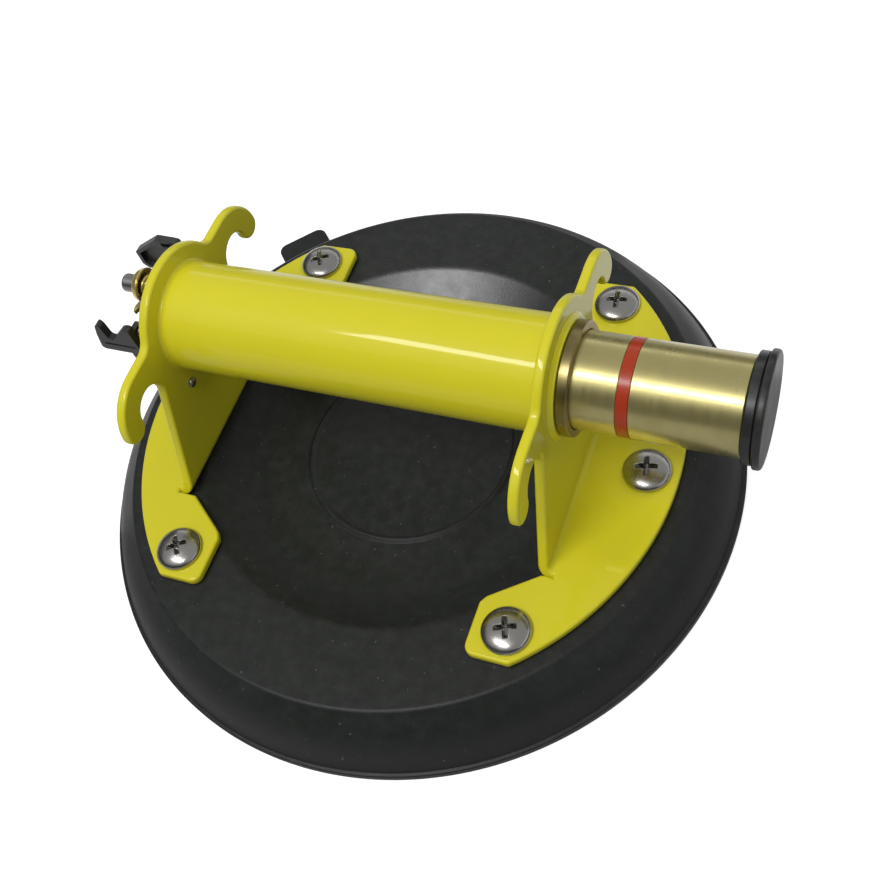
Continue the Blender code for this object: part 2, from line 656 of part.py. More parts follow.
def make_barrel():
    wiper_start, wiper_out = MOUTH_END - 0.0022, PLUNGER_RADIUS + 0.0015
    barrel = [
        (BARREL_BORE, BARREL_INNER_END), (BARREL_RADIUS, BARREL_INNER_END),
        (BARREL_RADIUS, MOUTH_START), (MOUTH_RADIUS, MOUTH_START),
        (MOUTH_RADIUS, MOUTH_END - 0.0005), (MOUTH_RADIUS - 0.0005, MOUTH_END),
        (wiper_out, MOUTH_END), (wiper_out, wiper_start), (NECK_BORE, wiper_start),
        (NECK_BORE, NECK_START), (BARREL_BORE, NECK_START),
    ]
    painted(handle_piece("pump_barrel", barrel), (0.62, 0.45, 0.16), 1.0, 0.25)
    inner, outer = PLUNGER_RADIUS + SNUG, wiper_out - SNUG
    wiper = [
        (inner, wiper_start + SNUG), (outer, wiper_start + SNUG), (outer, MOUTH_END - 0.0003),
        (inner, MOUTH_END - 0.0009),
    ]
    painted(handle_piece("barrel_wiper", wiper), (0.015, 0.015, 0.015), 0.0, 0.6)
    flap = [
        (0, BARREL_INNER_END - 0.003), (0.0022, BARREL_INNER_END - 0.003),
        (0.0022, BARREL_INNER_END - SEAT), (0.0015, BARREL_INNER_END - SEAT),
        (0.0015, SEAT_END + SEAT), (FLAP_RADIUS, SEAT_END + SEAT), (FLAP_RADIUS, SEAT_END + 0.0009),
        (0.003, SEAT_END + 0.0022), (0, SEAT_END + 0.0025),
    ]
    place = (0.0, 0.0, HANDLE_Z)
    flap = revolved("check_flap", flap, ROUND_SMALL, place, "X")
    painted(flap, (0.02, 0.02, 0.02), 0.0, 0.6)
    hole, outside = 0.0015 + SNUG, BARREL_BORE - SNUG
    seat = cylinder(
        "check_seat", outside, BARREL_INNER_END, SEAT_END, ROUND_HANDLE, place, "X"
    )
    stalk = cylinder(
        "stalk_hole", hole, BARREL_INNER_END - 0.001, SEAT_END + 0.001, ROUND_SMALL, place, "X"
    )
    boolean(seat, as_cutter(stalk))
    for i in range(4):
        turn = math.radians(45 + 90 * i)
        port = cylinder(
            f"check_port_{i + 1}", 0.0009, BARREL_INNER_END - 0.001, SEAT_END + 0.001, 8,
            (0.0, 0.004 * math.cos(turn), HANDLE_Z + 0.004 * math.sin(turn)), "X",
        )
        boolean(seat, as_cutter(port))
    painted(seat, (0.62, 0.45, 0.16), 1.0, 0.35)


def make_plunger():
    groove = PLUNGER_RADIUS - BAND_DEPTH
    band_end = BAND_START + BAND_WIDTH
    tube = [
        (PLUNGER_BORE, PISTON_FRONT + SEAT), (PLUNGER_RADIUS, PISTON_FRONT + SEAT),
        (PLUNGER_RADIUS, BAND_START - SNUG), (groove, BAND_START - SNUG),
        (groove, band_end + SNUG), (PLUNGER_RADIUS, band_end + SNUG),
        (PLUNGER_RADIUS, PLUNGER_END - SEAT), (PLUNGER_BORE, PLUNGER_END - SEAT),
    ]
    painted(handle_piece("plunger_tube", tube), (0.62, 0.45, 0.16), 1.0, 0.25)
    band = block_profile(groove + SNUG, PLUNGER_RADIUS, BAND_START, band_end)
    painted(handle_piece("red_band", band), (0.42, 0.035, 0.02), 0.0, 0.35)
    plug, end = PLUNGER_BORE - SEAT, PLUNGER_END + CAP_LENGTH
    ring_end = PLUNGER_END + CAP_RING_LENGTH
    cap = [
        (0, PLUNGER_END - CAP_PLUG), (plug, PLUNGER_END - CAP_PLUG), (plug, PLUNGER_END),
        (CAP_RING_RADIUS - 0.0003, PLUNGER_END), (CAP_RING_RADIUS, PLUNGER_END + 0.0003),
        (CAP_RING_RADIUS, ring_end - 0.0003), (CAP_RING_RADIUS - 0.0008, ring_end),
        (CAP_RING_RADIUS - 0.0008, ring_end + 0.0004), (CAP_DISC_RADIUS, ring_end + 0.0005),
        (CAP_DISC_RADIUS, end - 0.0009), (CAP_DISC_RADIUS - 0.0003, end - 0.0003),
        (CAP_DISC_RADIUS - 0.0009, end), (0, end),
    ]
    painted(handle_piece("plunger_cap", cap), (0.035, 0.036, 0.035), 0.0, 0.45)
    radius = BARREL_BORE - GLIDE
    seal_start = PISTON_BACK + 0.003
    floor = radius - SEAL_DEPTH
    piston = [
        (0, PISTON_BACK), (radius - 0.0005, PISTON_BACK), (radius, PISTON_BACK + 0.0005),
        (radius, seal_start), (floor, seal_start), (floor, seal_start + SEAL_WIDTH),
        (radius, seal_start + SEAL_WIDTH), (radius, PISTON_FRONT), (plug, PISTON_FRONT),
        (plug, PISTON_FRONT + PISTON_PLUG), (0, PISTON_FRONT + PISTON_PLUG),
    ]
    painted(handle_piece("piston", piston), (0.62, 0.45, 0.16), 1.0, 0.35)
    seal = block_profile(
        floor + SNUG, BARREL_BORE - SNUG, seal_start + SNUG, seal_start + SEAL_WIDTH - SNUG
    )
    painted(handle_piece("piston_seal", seal), (0.015, 0.015, 0.015), 0.0, 0.6)
    spring = coil(
        "plunger_spring", SPRING_RADIUS, SPRING_WIRE, SPRING_TURNS, SEAT_END + SEAT,
        PISTON_BACK - SEAT, (0.0, 0.0, HANDLE_Z),
    )
    painted(spring, (0.5, 0.5, 0.52), 1.0, 0.35)


def make_end_plug():
    radius, groove = HANDLE_BORE - SEAT, HANDLE_BORE - SEAT - 0.0018
    low, high = LEFT_OUTER, LEFT_OUTER + PLUG_LENGTH
    middle = (low + high) / 2
    profile = [
        (0, low), (radius, low), (radius, middle - 0.0011), (groove, middle - 0.0011),
        (groove, middle + 0.0011), (radius, middle + 0.0011), (radius, high), (0, high),
    ]
    plug = handle_piece("end_plug", profile)
    hole = cylinder(
        "valve_hole", VALVE_RADIUS + SNUG, low - 0.001, high + 0.001, ROUND_SMALL,
        (0.0, VALVE_Y, VALVE_Z), "X",
    )
    boolean(plug, as_cutter(hole))
    painted(plug, (0.05, 0.05, 0.05), 0.0, 0.5)
    seal = block_profile(
        groove + SNUG, HANDLE_BORE - SNUG, middle - 0.0011 + SNUG, middle + 0.0011 - SNUG
    )
    painted(handle_piece("plug_seal", seal), (0.015, 0.015, 0.015), 0.0, 0.6)


def valve_piece(name, profile, segments=ROUND_SMALL):
    return revolved(name, profile, segments, (0.0, VALVE_Y, VALVE_Z), "X")


def make_valve():
    face = LEFT_OUTER - SEAT
    hex_end = face - VALVE_HEX_LENGTH
    outside = [(VALVE_RADIUS, LEFT_OUTER + PLUG_LENGTH), (VALVE_RADIUS, face), (VALVE_HEX, face)]
    outside += [(VALVE_HEX, hex_end), (VALVE_RADIUS + 0.0002, hex_end)]
    ribs = hex_end - 0.001
    for i in range(VALVE_RIBS):
        start = ribs - i * RIB_PITCH
        outside += [
            (VALVE_RADIUS + 0.0002, start), (VALVE_RADIUS + RIB_DEPTH, start - RIB_PITCH * 0.3),
            (VALVE_RADIUS + RIB_DEPTH, start - RIB_PITCH * 0.6),
        ]
    outside.append((VALVE_RADIUS + 0.0002, VALVE_END))
    inside = [(VALVE_BORE, VALVE_END), (VALVE_BORE, LEFT_OUTER + PLUG_LENGTH)]
    painted(valve_piece("valve_body", (inside + outside)[::-1]), (0.55, 0.40, 0.16), 1.0, 0.3)
    washer_start = VALVE_END - SEAT - WASHER_THICK
    washer = block_profile(STEM_RADIUS + SNUG, WASHER_RADIUS, washer_start, VALVE_END - SEAT)
    painted(valve_piece("valve_washer", washer), (0.62, 0.48, 0.2), 1.0, 0.25)
    head_start = washer_start - SEAT
    head_end = head_start - STEM_HEAD_LENGTH
    stem = [
        (0, head_end), (STEM_HEAD - 0.0008, head_end), (STEM_HEAD, head_end + 0.0008),
        (STEM_HEAD, head_start), (STEM_RADIUS, head_start),
        (STEM_RADIUS, LEFT_OUTER + PLUG_LENGTH + 0.002), (0, LEFT_OUTER + PLUG_LENGTH + 0.002),
    ]
    painted(valve_piece("valve_stem", stem), (0.5, 0.5, 0.5), 1.0, 0.3)


def make_lever_bracket():
    half = MOUNT_HALF
    base = arc((half - 0.004, MOUNT_LOW + 0.004), 0.004, -90, 0, 3) + [(half, MOUNT_HIGH)]
    base += [(-half, MOUNT_HIGH)] + arc((0.004 - half, MOUNT_LOW + 0.004), 0.004, 180, 270, 3)
    bracket = prism("lever_bracket", base, "X", MOUNT_FACE, LEFT_OUTER - SEAT)
    lug_outline = [(MOUNT_FACE + 0.001, -LUG_RADIUS)]
    lug_outline += arc((HINGE_X, 0.0), LUG_RADIUS, 270, 90, 10) + [(MOUNT_FACE + 0.001, LUG_RADIUS)]
    lows = {"low": LUG_LOW, "high": MOUNT_HIGH - LUG_THICK}
    for name, low in lows.items():
        lug = prism(f"lug_{name}", lug_outline, "Z", low, low + LUG_THICK)
        boolean(bracket, as_cutter(lug), "UNION")
    pin = cylinder(
        "lug_hole", PIN_RADIUS + SNUG, LUG_LOW - 0.001, MOUNT_HIGH + 0.001, ROUND_SMALL,
        (HINGE_X, 0.0, 0.0),
    )
    boolean(bracket, as_cutter(pin))
    for side, y in (("front", -LEVER_SCREW_Y), ("back", LEVER_SCREW_Y)):
        hole = cylinder(
            f"bracket_hole_{side}", LEVER_SCREW_RADIUS + SNUG, MOUNT_FACE - 0.001,
            LEFT_OUTER + 0.001, ROUND_SMALL, (0.0, y, LEVER_SCREW_Z), "X",
        )
        boolean(bracket, as_cutter(hole))
        start = LEFT_WEB + SEAT
        profile = [
            (0, MOUNT_FACE + SEAT), (LEVER_SCREW_RADIUS, MOUNT_FACE + SEAT),
            (LEVER_SCREW_RADIUS, start), (LEVER_SCREW_HEAD, start),
            (LEVER_SCREW_HEAD, start + 0.0008), (LEVER_SCREW_HEAD * 0.75, start + 0.0016),
            (0, start + 0.0019),
        ]
        screw = revolved(f"lever_screw_{side}", profile, ROUND_SMALL, (0.0, y, LEVER_SCREW_Z), "X")
        painted(screw, (0.6, 0.6, 0.6), 1.0, 0.3)
    painted(bracket, (0.45, 0.45, 0.46), 1.0, 0.4)
    head = LUG_RADIUS * 0.7
    profile = [
        (0, LUG_LOW - 0.001), (PIN_RADIUS, LUG_LOW - 0.001), (PIN_RADIUS, MOUNT_HIGH + SEAT),
        (head, MOUNT_HIGH + SEAT), (head, MOUNT_HIGH + 0.0016), (0, MOUNT_HIGH + 0.0019),
    ]
    pin = revolved("lever_pin", profile, ROUND_SMALL, (HINGE_X, 0.0, 0.0))
    painted(pin, (0.6, 0.6, 0.6), 1.0, 0.3)


def wing_outlines():
    """Front and back wings as (x, z) counted from the web's outer face.

    Each corner is a share of the wing's reach and of its height, apart from those at its root.
    """
    front = [
        (0.95, 0.0), (1.0, 0.07), (0.955, 0.39), (0.925, 0.60), (0.845, 0.95), (0.795, 1.0),
        (0.755, 0.90), (0.738, 0.49), (0.667, 0.44), (0.587, 0.56), (0.378, 0.89), (0.31, 0.94),
    ]
    back = [(0.933, 0.0), (1.0, 0.12), (1.0, 0.52), (0.534, 1.0), (0.26, 0.98)]
    low, tall = VALVE_Z - FRONT_WING_DROP, FRONT_WING_HEIGHT
    front = [(-x * FRONT_WING_REACH, low + z * tall) for x, z in front]
    front = [(-WING_ROOT, low + tall * 0.95), (-WING_ROOT, low)] + front
    low, tall = VALVE_Z - BACK_WING_DROP, BACK_WING_HEIGHT
    back = [(-x * BACK_WING_REACH, low + z * tall) for x, z in back]
    back = [(-WING_ROOT, low + tall * 0.97), (-WING_ROOT, low)] + back
    return front, back


def make_lever():
    """The lever's origin is its pin, so every part of it is counted from there."""
    low, high = LUG_LOW + LUG_THICK + SEAT, MOUNT_HIGH - LUG_THICK - SEAT
    place = (HINGE_X, 0.0, 0.0)
    lever = cylinder("release_lever", KNUCKLE_RADIUS, low, high, ROUND_SMALL, place)
    face = LEFT_OUTER - HINGE_X
    front_x = KNUCKLE_RADIUS - 0.0005
    outline = [(-YOKE_HALF, low), (YOKE_HALF, low), (YOKE_HALF, YOKE_TOP), (YOKE_SLOT, YOKE_TOP)]
    outline += [(YOKE_SLOT, high), (-FRONT_ARM_SLOT, high)]
    outline += [(-FRONT_ARM_SLOT, FRONT_ARM_TOP), (-YOKE_HALF, FRONT_ARM_TOP)]
    yoke = prism("lever_yoke", outline, "X", front_x - YOKE_THICK, front_x, place)
    boolean(lever, as_cutter(yoke), "UNION")
    front, back = wing_outlines()
    outer, inner = YOKE_HALF, YOKE_HALF - WING_WALL
    for name, shape, span in (("front", front, (-outer, -inner)), ("back", back, (inner, outer))):
        points = [(face + x, z) for x, z in shape]
        wing = prism(f"lever_wing_{name}", points, "Y", *span, place)
        boolean(lever, as_cutter(wing), "UNION")
    for i, chosen in enumerate(((0, 1, 5, 6), (1, 2, 3, 4, 5))):
        corners = [Vector(back[k]) for k in chosen]
        centre = sum(corners, Vector((0, 0))) / len(corners)
        shape = [centre + (corner - centre) * POCKET_SHARE for corner in corners]
        points = [(face + x, z) for x, z in shape]
        span = (inner - 0.001, inner + POCKET_DEPTH)
        boolean(lever, as_cutter(prism(f"wing_pocket_{i + 1}", points, "Y", *span, place)))
    bore = cylinder("knuckle_bore", PIN_RADIUS + SNUG, low - 0.001, high + 0.001, ROUND_SMALL, place)
    boolean(lever, as_cutter(bore))
    painted(lever, (0.045, 0.047, 0.045), 0.0, 0.5)
    start, end = HINGE_X + front_x + SEAT, LEFT_OUTER - SEAT
    reach = SPRING_COIL_RADIUS + SPRING_COIL_WIRE
    places = {
        "front": (-FRONT_ARM_SLOT - reach, FRONT_ARM_TOP - SPRING_COIL_DROP),
        "back": (YOKE_SLOT + reach + 0.002, YOKE_TOP - SPRING_COIL_DROP - 0.002),
    }
    for side, (y, z) in places.items():
        spring = coil(
            f"lever_spring_{side}", SPRING_COIL_RADIUS, SPRING_COIL_WIRE, 4, start, end, (0.0, y, z)
        )
        painted(spring, (0.55, 0.42, 0.18), 1.0, 0.3)


def make_suction_line():
    """The pipe leaves the handle's underside, steps back and stands in the pad's port."""
    low = DISH_TOP + SEAT + 0.0045
    start = HANDLE_Z - HANDLE_RADIUS + 0.003
    lines = [Vector((0.0, y, z)) for y, z in (
        (0.0, start), (0.0, PIPE_BEND_HIGH), (PIPE_Y, PIPE_BEND_LOW), (PIPE_Y, low)
    )]
    path = [lines[0]]
    for before, corner, after in zip(lines, lines[1:], lines[2:]):
        one = corner + (before - corner).normalized() * 0.006
        two = corner + (after - corner).normalized() * 0.006
        for i in range(4):
            t = i / 3
            path.append(one * (1 - t) ** 2 + corner * 2 * t * (1 - t) + two * t**2)
    path.append(lines[-1])
    across = [Vector((1.0, 0.0, 0.0))] * len(path)
    pipe = swept(
        "suction_pipe", path, across, PIPE_RADIUS, PIPE_RADIUS - PIPE_WALL, ROUND_SMALL,
        (PIPE_X, 0.0, 0.0),
    )
    painted(pipe, (0.62, 0.45, 0.16), 1.0, 0.3)
    base, under = DISH_TOP + SEAT, CAVITY_DEPTH + 0.0004
    collar, socket = PIPE_RADIUS + 0.0022, PIPE_RADIUS + SNUG
    screen = PORT_RADIUS - 0.0012
    port = [
        (screen, under), (PORT_RADIUS, under), (PORT_RADIUS, base), (PORT_FLANGE, base),
        (PORT_FLANGE, base + PORT_FLANGE_THICK), (collar, base + PORT_FLANGE_THICK),
        (collar, PORT_HIGH), (socket, PORT_HIGH), (socket, low - SEAT),
        (0.0016, low - SEAT), (0.0016, under + FILTER_LENGTH + 2 * SEAT),
        (screen, under + FILTER_LENGTH + 2 * SEAT),
    ]
    place = (PIPE_X, PIPE_Y, 0.0)
    painted(revolved("pad_port", port, ROUND_SMALL, place), (0.62, 0.45, 0.16), 1.0, 0.3)
    air = cylinder(
        "air_filter", screen - SNUG, under + SEAT, under + SEAT + FILTER_LENGTH, ROUND_SMALL, place
    )
    painted(air, (0.6, 0.58, 0.5), 0.0, 0.9)


for leftover in list(bpy.data.objects):
    bpy.data.objects.remove(leftover, do_unlink=True)
PARTS = collection("Suction cup lifter")
CUTTERS = collection("Cutters")
CUTTERS.hide_render = True

make_pad()
make_brackets()
for number, (screw_x, screw_y) in enumerate(screw_places(), 1):
    make_screw(f"pad_screw_{number}", screw_x, screw_y)
make_handle()
make_barrel()
make_plunger()
make_end_plug()
make_valve()
make_lever_bracket()
make_lever()
make_suction_line()
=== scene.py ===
# %% [markdown]
# # A suction cup lifter for glass and tile
# A round rubber pad grips the load. Two bent and painted brackets stand on it and carry a tube, which is
# the handle. A small hand pump lives inside that tube: its brass plunger sticks out on the right, and the
# red band on it disappears while the grip is good. A lever on the left lets the air back in.
#
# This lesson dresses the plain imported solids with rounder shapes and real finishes. Every step says what
# the piece is on the real lifter, how it could be made, and why this way was chosen.

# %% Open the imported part
import math

import bmesh
import bpy
from mathutils import Matrix, Vector


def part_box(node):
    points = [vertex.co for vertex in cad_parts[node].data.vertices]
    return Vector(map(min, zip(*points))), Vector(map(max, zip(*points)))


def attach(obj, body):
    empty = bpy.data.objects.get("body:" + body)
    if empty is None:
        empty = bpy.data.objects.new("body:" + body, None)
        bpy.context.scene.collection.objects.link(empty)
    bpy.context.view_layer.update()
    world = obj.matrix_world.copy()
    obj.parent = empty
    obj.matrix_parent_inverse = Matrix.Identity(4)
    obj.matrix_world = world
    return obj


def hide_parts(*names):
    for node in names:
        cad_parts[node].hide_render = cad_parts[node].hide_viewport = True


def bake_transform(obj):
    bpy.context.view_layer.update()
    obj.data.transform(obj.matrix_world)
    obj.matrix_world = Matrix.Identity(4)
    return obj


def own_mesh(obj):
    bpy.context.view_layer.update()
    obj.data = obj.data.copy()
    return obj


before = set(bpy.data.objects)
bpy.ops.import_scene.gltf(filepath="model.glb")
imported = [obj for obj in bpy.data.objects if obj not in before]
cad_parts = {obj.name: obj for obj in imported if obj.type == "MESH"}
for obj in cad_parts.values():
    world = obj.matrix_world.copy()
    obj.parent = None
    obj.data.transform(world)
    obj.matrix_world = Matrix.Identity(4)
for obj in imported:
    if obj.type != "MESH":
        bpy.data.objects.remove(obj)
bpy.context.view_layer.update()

PAD_X = sum(corner.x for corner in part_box("backing_plate")) / 2
print("the pad's centre is at x =", round(PAD_X * 1000, 2), "mm")

# %% [markdown]
# ## Outlines with rounded corners
# Pressed, moulded and turned pieces have no truly sharp corner, and the thin bright lines along their
# edges are what makes them look solid. So each outline here is a list of corners with a radius for each.
# One helper turns it into points. The alternative, a Bevel modifier, gives one width to every edge.

# %% Round the corners of an outline
MOST_OF_EDGE = 0.49


def eased(corners, step=14, closed=True):
    """Rounds each (u, v, radius) corner of an outline, with a point every few degrees.

    A corner without a radius stays as it is, and so do both ends of an open outline. A radius that is
    too large for its corner shrinks, so that two corners never meet on the edge between them.
    """
    points = []
    for i, corner in enumerate(corners):
        here = Vector(corner[:2])
        ends = not closed and i in (0, len(corners) - 1)
        if len(corner) < 3 or ends:
            points.append(tuple(here))
            continue
        one = Vector(corners[i - 1][:2]) - here
        two = Vector(corners[(i + 1) % len(corners)][:2]) - here
        half = one.angle(two) / 2
        reach = min(corner[2] / math.tan(half), one.length * MOST_OF_EDGE, two.length * MOST_OF_EDGE)
        radius = reach * math.tan(half)
        inwards = (one.normalized() + two.normalized()).normalized()
        middle = here + inwards * math.hypot(reach, radius)
        start = here + one.normalized() * reach - middle
        end = here + two.normalized() * reach - middle
        first = math.atan2(start.y, start.x)
        turn = (math.atan2(end.y, end.x) - first + math.pi) % (2 * math.pi) - math.pi
        steps = max(2, math.ceil(abs(math.degrees(turn)) / step))
        for k in range(steps + 1):
            angle = first + turn * k / steps
            points.append((middle.x + radius * math.cos(angle), middle.y + radius * math.sin(angle)))
    return points


def arc(centre, radius, start, end, steps):
    """Points on an arc, angles in degrees, both ends included."""
    turns = [math.radians(start + (end - start) * i / steps) for i in range(steps + 1)]
    return [(centre[0] + radius * math.cos(t), centre[1] + radius * math.sin(t)) for t in turns]


square = eased([(0, 0, 1), (9, 0, 1), (9, 9, 1), (0, 9, 1)])
print("a square with round corners has", len(square), "points")

# %% [markdown]
# ## Turned and flat shapes
# Most of the lifter is either turned about an axis, like the pad and the pump, or cut from sheet. Two
# helpers make these meshes. They write the points where the piece belongs, so every object stays at the
# origin, and a pattern on Object coordinates can't slide when the model is exported.

# %% Make a mesh, turn a profile and raise an outline
AXES = {
    "X": lambda u, v, w: (w, u, v),
    "Y": lambda u, v, w: (u, w, v),
    "Z": lambda u, v, w: (u, v, w),
}
ON_AXIS = 1e-7


def added(obj):
    """Puts an object into the scene."""
    bpy.context.scene.collection.objects.link(obj)
    return obj


def piece(name, points, faces):
    """A mesh object whose points are counted from the pad's centre."""
    mesh = bpy.data.meshes.new(name)
    mesh.from_pydata([(x + PAD_X, y, z) for x, y, z in points], [], faces)
    return added(bpy.data.objects.new(name, mesh))


def outward(obj):
    """Makes all faces of a closed mesh look out."""
    shell = bmesh.new()
    shell.from_mesh(obj.data)
    bmesh.ops.recalc_face_normals(shell, faces=shell.faces)
    shell.to_mesh(obj.data)
    shell.free()
    return obj


def lathe(name, profile, segments, centre=(0.0, 0.0, 0.0), axis="Z"):
    """Turns (radius, along) points about an axis. The profile runs anticlockwise, so faces look out."""
    points, faces, rings = [], [], []
    for radius, along in profile:
        many = radius > ON_AXIS
        ring = [len(points) + (j if many else 0) for j in range(segments)]
        for j in range(segments if many else 1):
            turn = 2 * math.pi * j / segments
            spot = AXES[axis](radius * math.cos(turn), radius * math.sin(turn), along)
            points.append([spot[k] + centre[k] for k in range(3)])
        rings.append(ring)
    for one, two in zip(rings, rings[1:] + rings[:1]):
        for j in range(segments):
            k = (j + 1) % segments
            face = tuple(dict.fromkeys((one[j], one[k], two[k], two[j])))
            if len(face) > 2:
                faces.append(face)
    return piece(name, points, faces)


def rod(name, radius, low, high, segments, centre, axis="Z"):
    """A plain round bar between two heights. Most of them drill a hole."""
    return lathe(name, [(0, low), (radius, low), (radius, high), (0, high)], segments, centre, axis)


def raised(name, outline, axis, low, high, centre=(0.0, 0.0, 0.0)):
    """Raises a flat outline along an axis: (y, z) along X, (x, z) along Y or (x, y) along Z."""
    count = len(outline)
    points = [AXES[axis](u, v, w) for w in (low, high) for u, v in outline]
    points = [[spot[k] + centre[k] for k in range(3)] for spot in points]
    faces = [tuple(range(count))[::-1], tuple(range(count, 2 * count))]
    faces += [(i, (i + 1) % count, (i + 1) % count + count, i + count) for i in range(count)]
    return outward(piece(name, points, faces))


# %% Apply modifiers, join shapes and shade them smooth
def settled(obj):
    """Replaces the object's mesh by what its modifiers make, and removes them."""
    graph = bpy.context.evaluated_depsgraph_get()
    obj.data = bpy.data.meshes.new_from_object(obj.evaluated_get(graph))
    obj.modifiers.clear()
    return obj


def joined(obj, other, operation="DIFFERENCE"):
    """Cuts the other shape out of this one, or adds it, and removes the other."""
    step = obj.modifiers.new("Cut", "BOOLEAN")
    step.operation, step.solver, step.object = operation, "EXACT", other
    settled(obj)
    bpy.data.objects.remove(other, do_unlink=True)
    return obj


def bevelled(obj, width, angle=40, segments=3):
    """Rounds every edge that turns by more than an angle in degrees."""
    step = obj.modifiers.new("Edges", "BEVEL")
    step.width, step.segments, step.limit_method = width, segments, "ANGLE"
    step.angle_limit = math.radians(angle)
    return settled(obj)


def smooth(obj, sharp=38):
    """Smooth shading that keeps flat faces flat: corner normals follow the larger faces."""
    obj.data.shade_smooth()
    obj.data.set_sharp_from_angle(angle=math.radians(sharp))
    step = obj.modifiers.new("Flat faces", "WEIGHTED_NORMAL")
    step.keep_sharp = True
    return settled(obj)


def painted(mesh, coat):
    """Gives a mesh one material."""
    mesh.materials.clear()
    mesh.materials.append(coat)


def placed(obj, coat, body, slot, *nodes):
    """Paints a finished piece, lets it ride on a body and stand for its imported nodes."""
    painted(obj.data, coat)
    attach(obj, body)
    if nodes:
        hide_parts(*nodes)
    count = len(obj.data.polygons)
    print(obj.name, "has", count, "faces and stands for", ", ".join(nodes) or "no node")


# %% [markdown]
# ## Shader nodes in a few words
# A material is a small graph. The first helper adds one node, sets its values and plugs in its links in
# a single line, and the others are short forms of what the graphs below do most. Every pattern reads
# Object coordinates, so it stays on its piece when the piece moves.

# %% Add shader nodes
def node(tree, kind, inputs=None, **settings):
    """Adds a node. inputs maps a socket's name or number to a value or to another node's output."""
    made = tree.nodes.new(kind)
    for key, value in settings.items():
        setattr(made, key, value)
    for key, value in (inputs or {}).items():
        if isinstance(value, bpy.types.NodeSocket):
            tree.links.new(value, made.inputs[key])
        else:
            made.inputs[key].default_value = value
    return made


def maths(tree, operation, one, two, clamp=False):
    """One sum, product or maximum."""
    made = node(tree, "ShaderNodeMath", {0: one, 1: two}, operation=operation, use_clamp=clamp)
    return made.outputs[0]


def spread(tree, value, low, high, to_low=0.0, to_high=1.0):
    """Maps a value from one range to another, clamped."""
    made = node(tree, "ShaderNodeMapRange", {0: value, 1: low, 2: high, 3: to_low, 4: to_high})
    return made.outputs[0]


def swing(tree, noise, to_low=0.0, to_high=1.0):
    """Stretches a fractal noise, which seldom leaves 0.3 to 0.7, over a range."""
    return spread(tree, noise, 0.3, 0.7, to_low, to_high)


def noise_on(tree, scale, detail, roughness=0.5, place=None):
    """Fractal noise at a place, which is the spot's Object coordinates if none is given."""
    place = place or node(tree, "ShaderNodeTexCoord").outputs["Object"]
    inputs = {"Vector": place, "Scale": scale, "Detail": detail, "Roughness": roughness}
    return node(tree, "ShaderNodeTexNoise", inputs).outputs[0]


def mixed(tree, share, one, two):
    """Mixes two colours by a share. In the Mix node, sockets 6 and 7 and output 2 are the colours."""
    made = tree.nodes.new("ShaderNodeMix")
    made.data_type = "RGBA"
    for socket, value in zip((made.inputs[0], made.inputs[6], made.inputs[7]), (share, one, two)):
        if isinstance(value, bpy.types.NodeSocket):
            tree.links.new(value, socket)
        else:
            socket.default_value = value if isinstance(value, float) else (*value, 1.0)
    return made.outputs[2]


def group(name, inputs, output):
    """Starts a shader group with named number inputs and one named output. Returns it and its ends."""
    made = bpy.data.node_groups.new(name, "ShaderNodeTree")
    for label, value in inputs.items():
        socket = made.interface.new_socket(label, in_out="INPUT", socket_type="NodeSocketFloat")
        socket.default_value = value
    made.interface.new_socket(output, in_out="OUTPUT", socket_type="NodeSocketFloat")
    return made, made.nodes.new("NodeGroupInput"), made.nodes.new("NodeGroupOutput")


def give(tree, end, value):
    """Plugs a value into the group's output and prints what the group takes and puts out."""
    tree.links.new(value, end.inputs[0])
    print(tree.name, "has the sockets", [item.name for item in tree.interface.items_tree])


def effect(tree, made, **values):
    """Places a shader group in a material with its own values."""
    inputs = {name.replace("_", " "): value for name, value in values.items()}
    return node(tree, "ShaderNodeGroup", inputs, node_tree=made).outputs[0]


# %% [markdown]
# ## Grain
# Moulded rubber, cast plastic and sprayed paint all have a fine unevenness. Fractal noise on Object
# coordinates gives it without any unwrapping, at whatever size the material asks for.

# %% Build the grain group
GRAIN, start, end = group("Grain", {"Scale": 300.0, "Detail": 3.0}, "Value")
give(GRAIN, end, noise_on(GRAIN, start.outputs["Scale"], start.outputs["Detail"], 0.55))

# %% [markdown]
# ## Dust
# Dust settles on faces that look up and gathers in patches. The group multiplies how much a face looks
# up by a patchy noise, and puts out a mask from 0 to 1.

# %% Build the dust group
DUST, start, end = group("Dust", {"Amount": 0.3, "Scale": 60.0}, "Mask")
up = node(DUST, "ShaderNodeSeparateXYZ", {0: node(DUST, "ShaderNodeNewGeometry").outputs["Normal"]})
patches = spread(DUST, noise_on(DUST, start.outputs["Scale"], 6.0, 0.62), 0.42, 0.72)
lying = maths(DUST, "MULTIPLY", spread(DUST, up.outputs[2], 0.1, 1.0), patches)
give(DUST, end, maths(DUST, "MULTIPLY", lying, start.outputs["Amount"], clamp=True))

# %% [markdown]
# ## Edge wear
# Handling rubs the outer edges first. Pointiness tells how far a spot sticks out, and noise breaks the
# line up so that it doesn't look drawn.

# %% Build the edge wear group
WEAR, start, end = group("Edge wear", {"Amount": 0.5, "Scale": 150.0}, "Mask")
edges = spread(WEAR, node(WEAR, "ShaderNodeNewGeometry").outputs["Pointiness"], 0.53, 0.62)
gaps = spread(WEAR, noise_on(WEAR, start.outputs["Scale"], 4.0), 0.38, 0.62)
broken = maths(WEAR, "MULTIPLY", edges, gaps)
give(WEAR, end, maths(WEAR, "MULTIPLY", broken, start.outputs["Amount"], clamp=True))
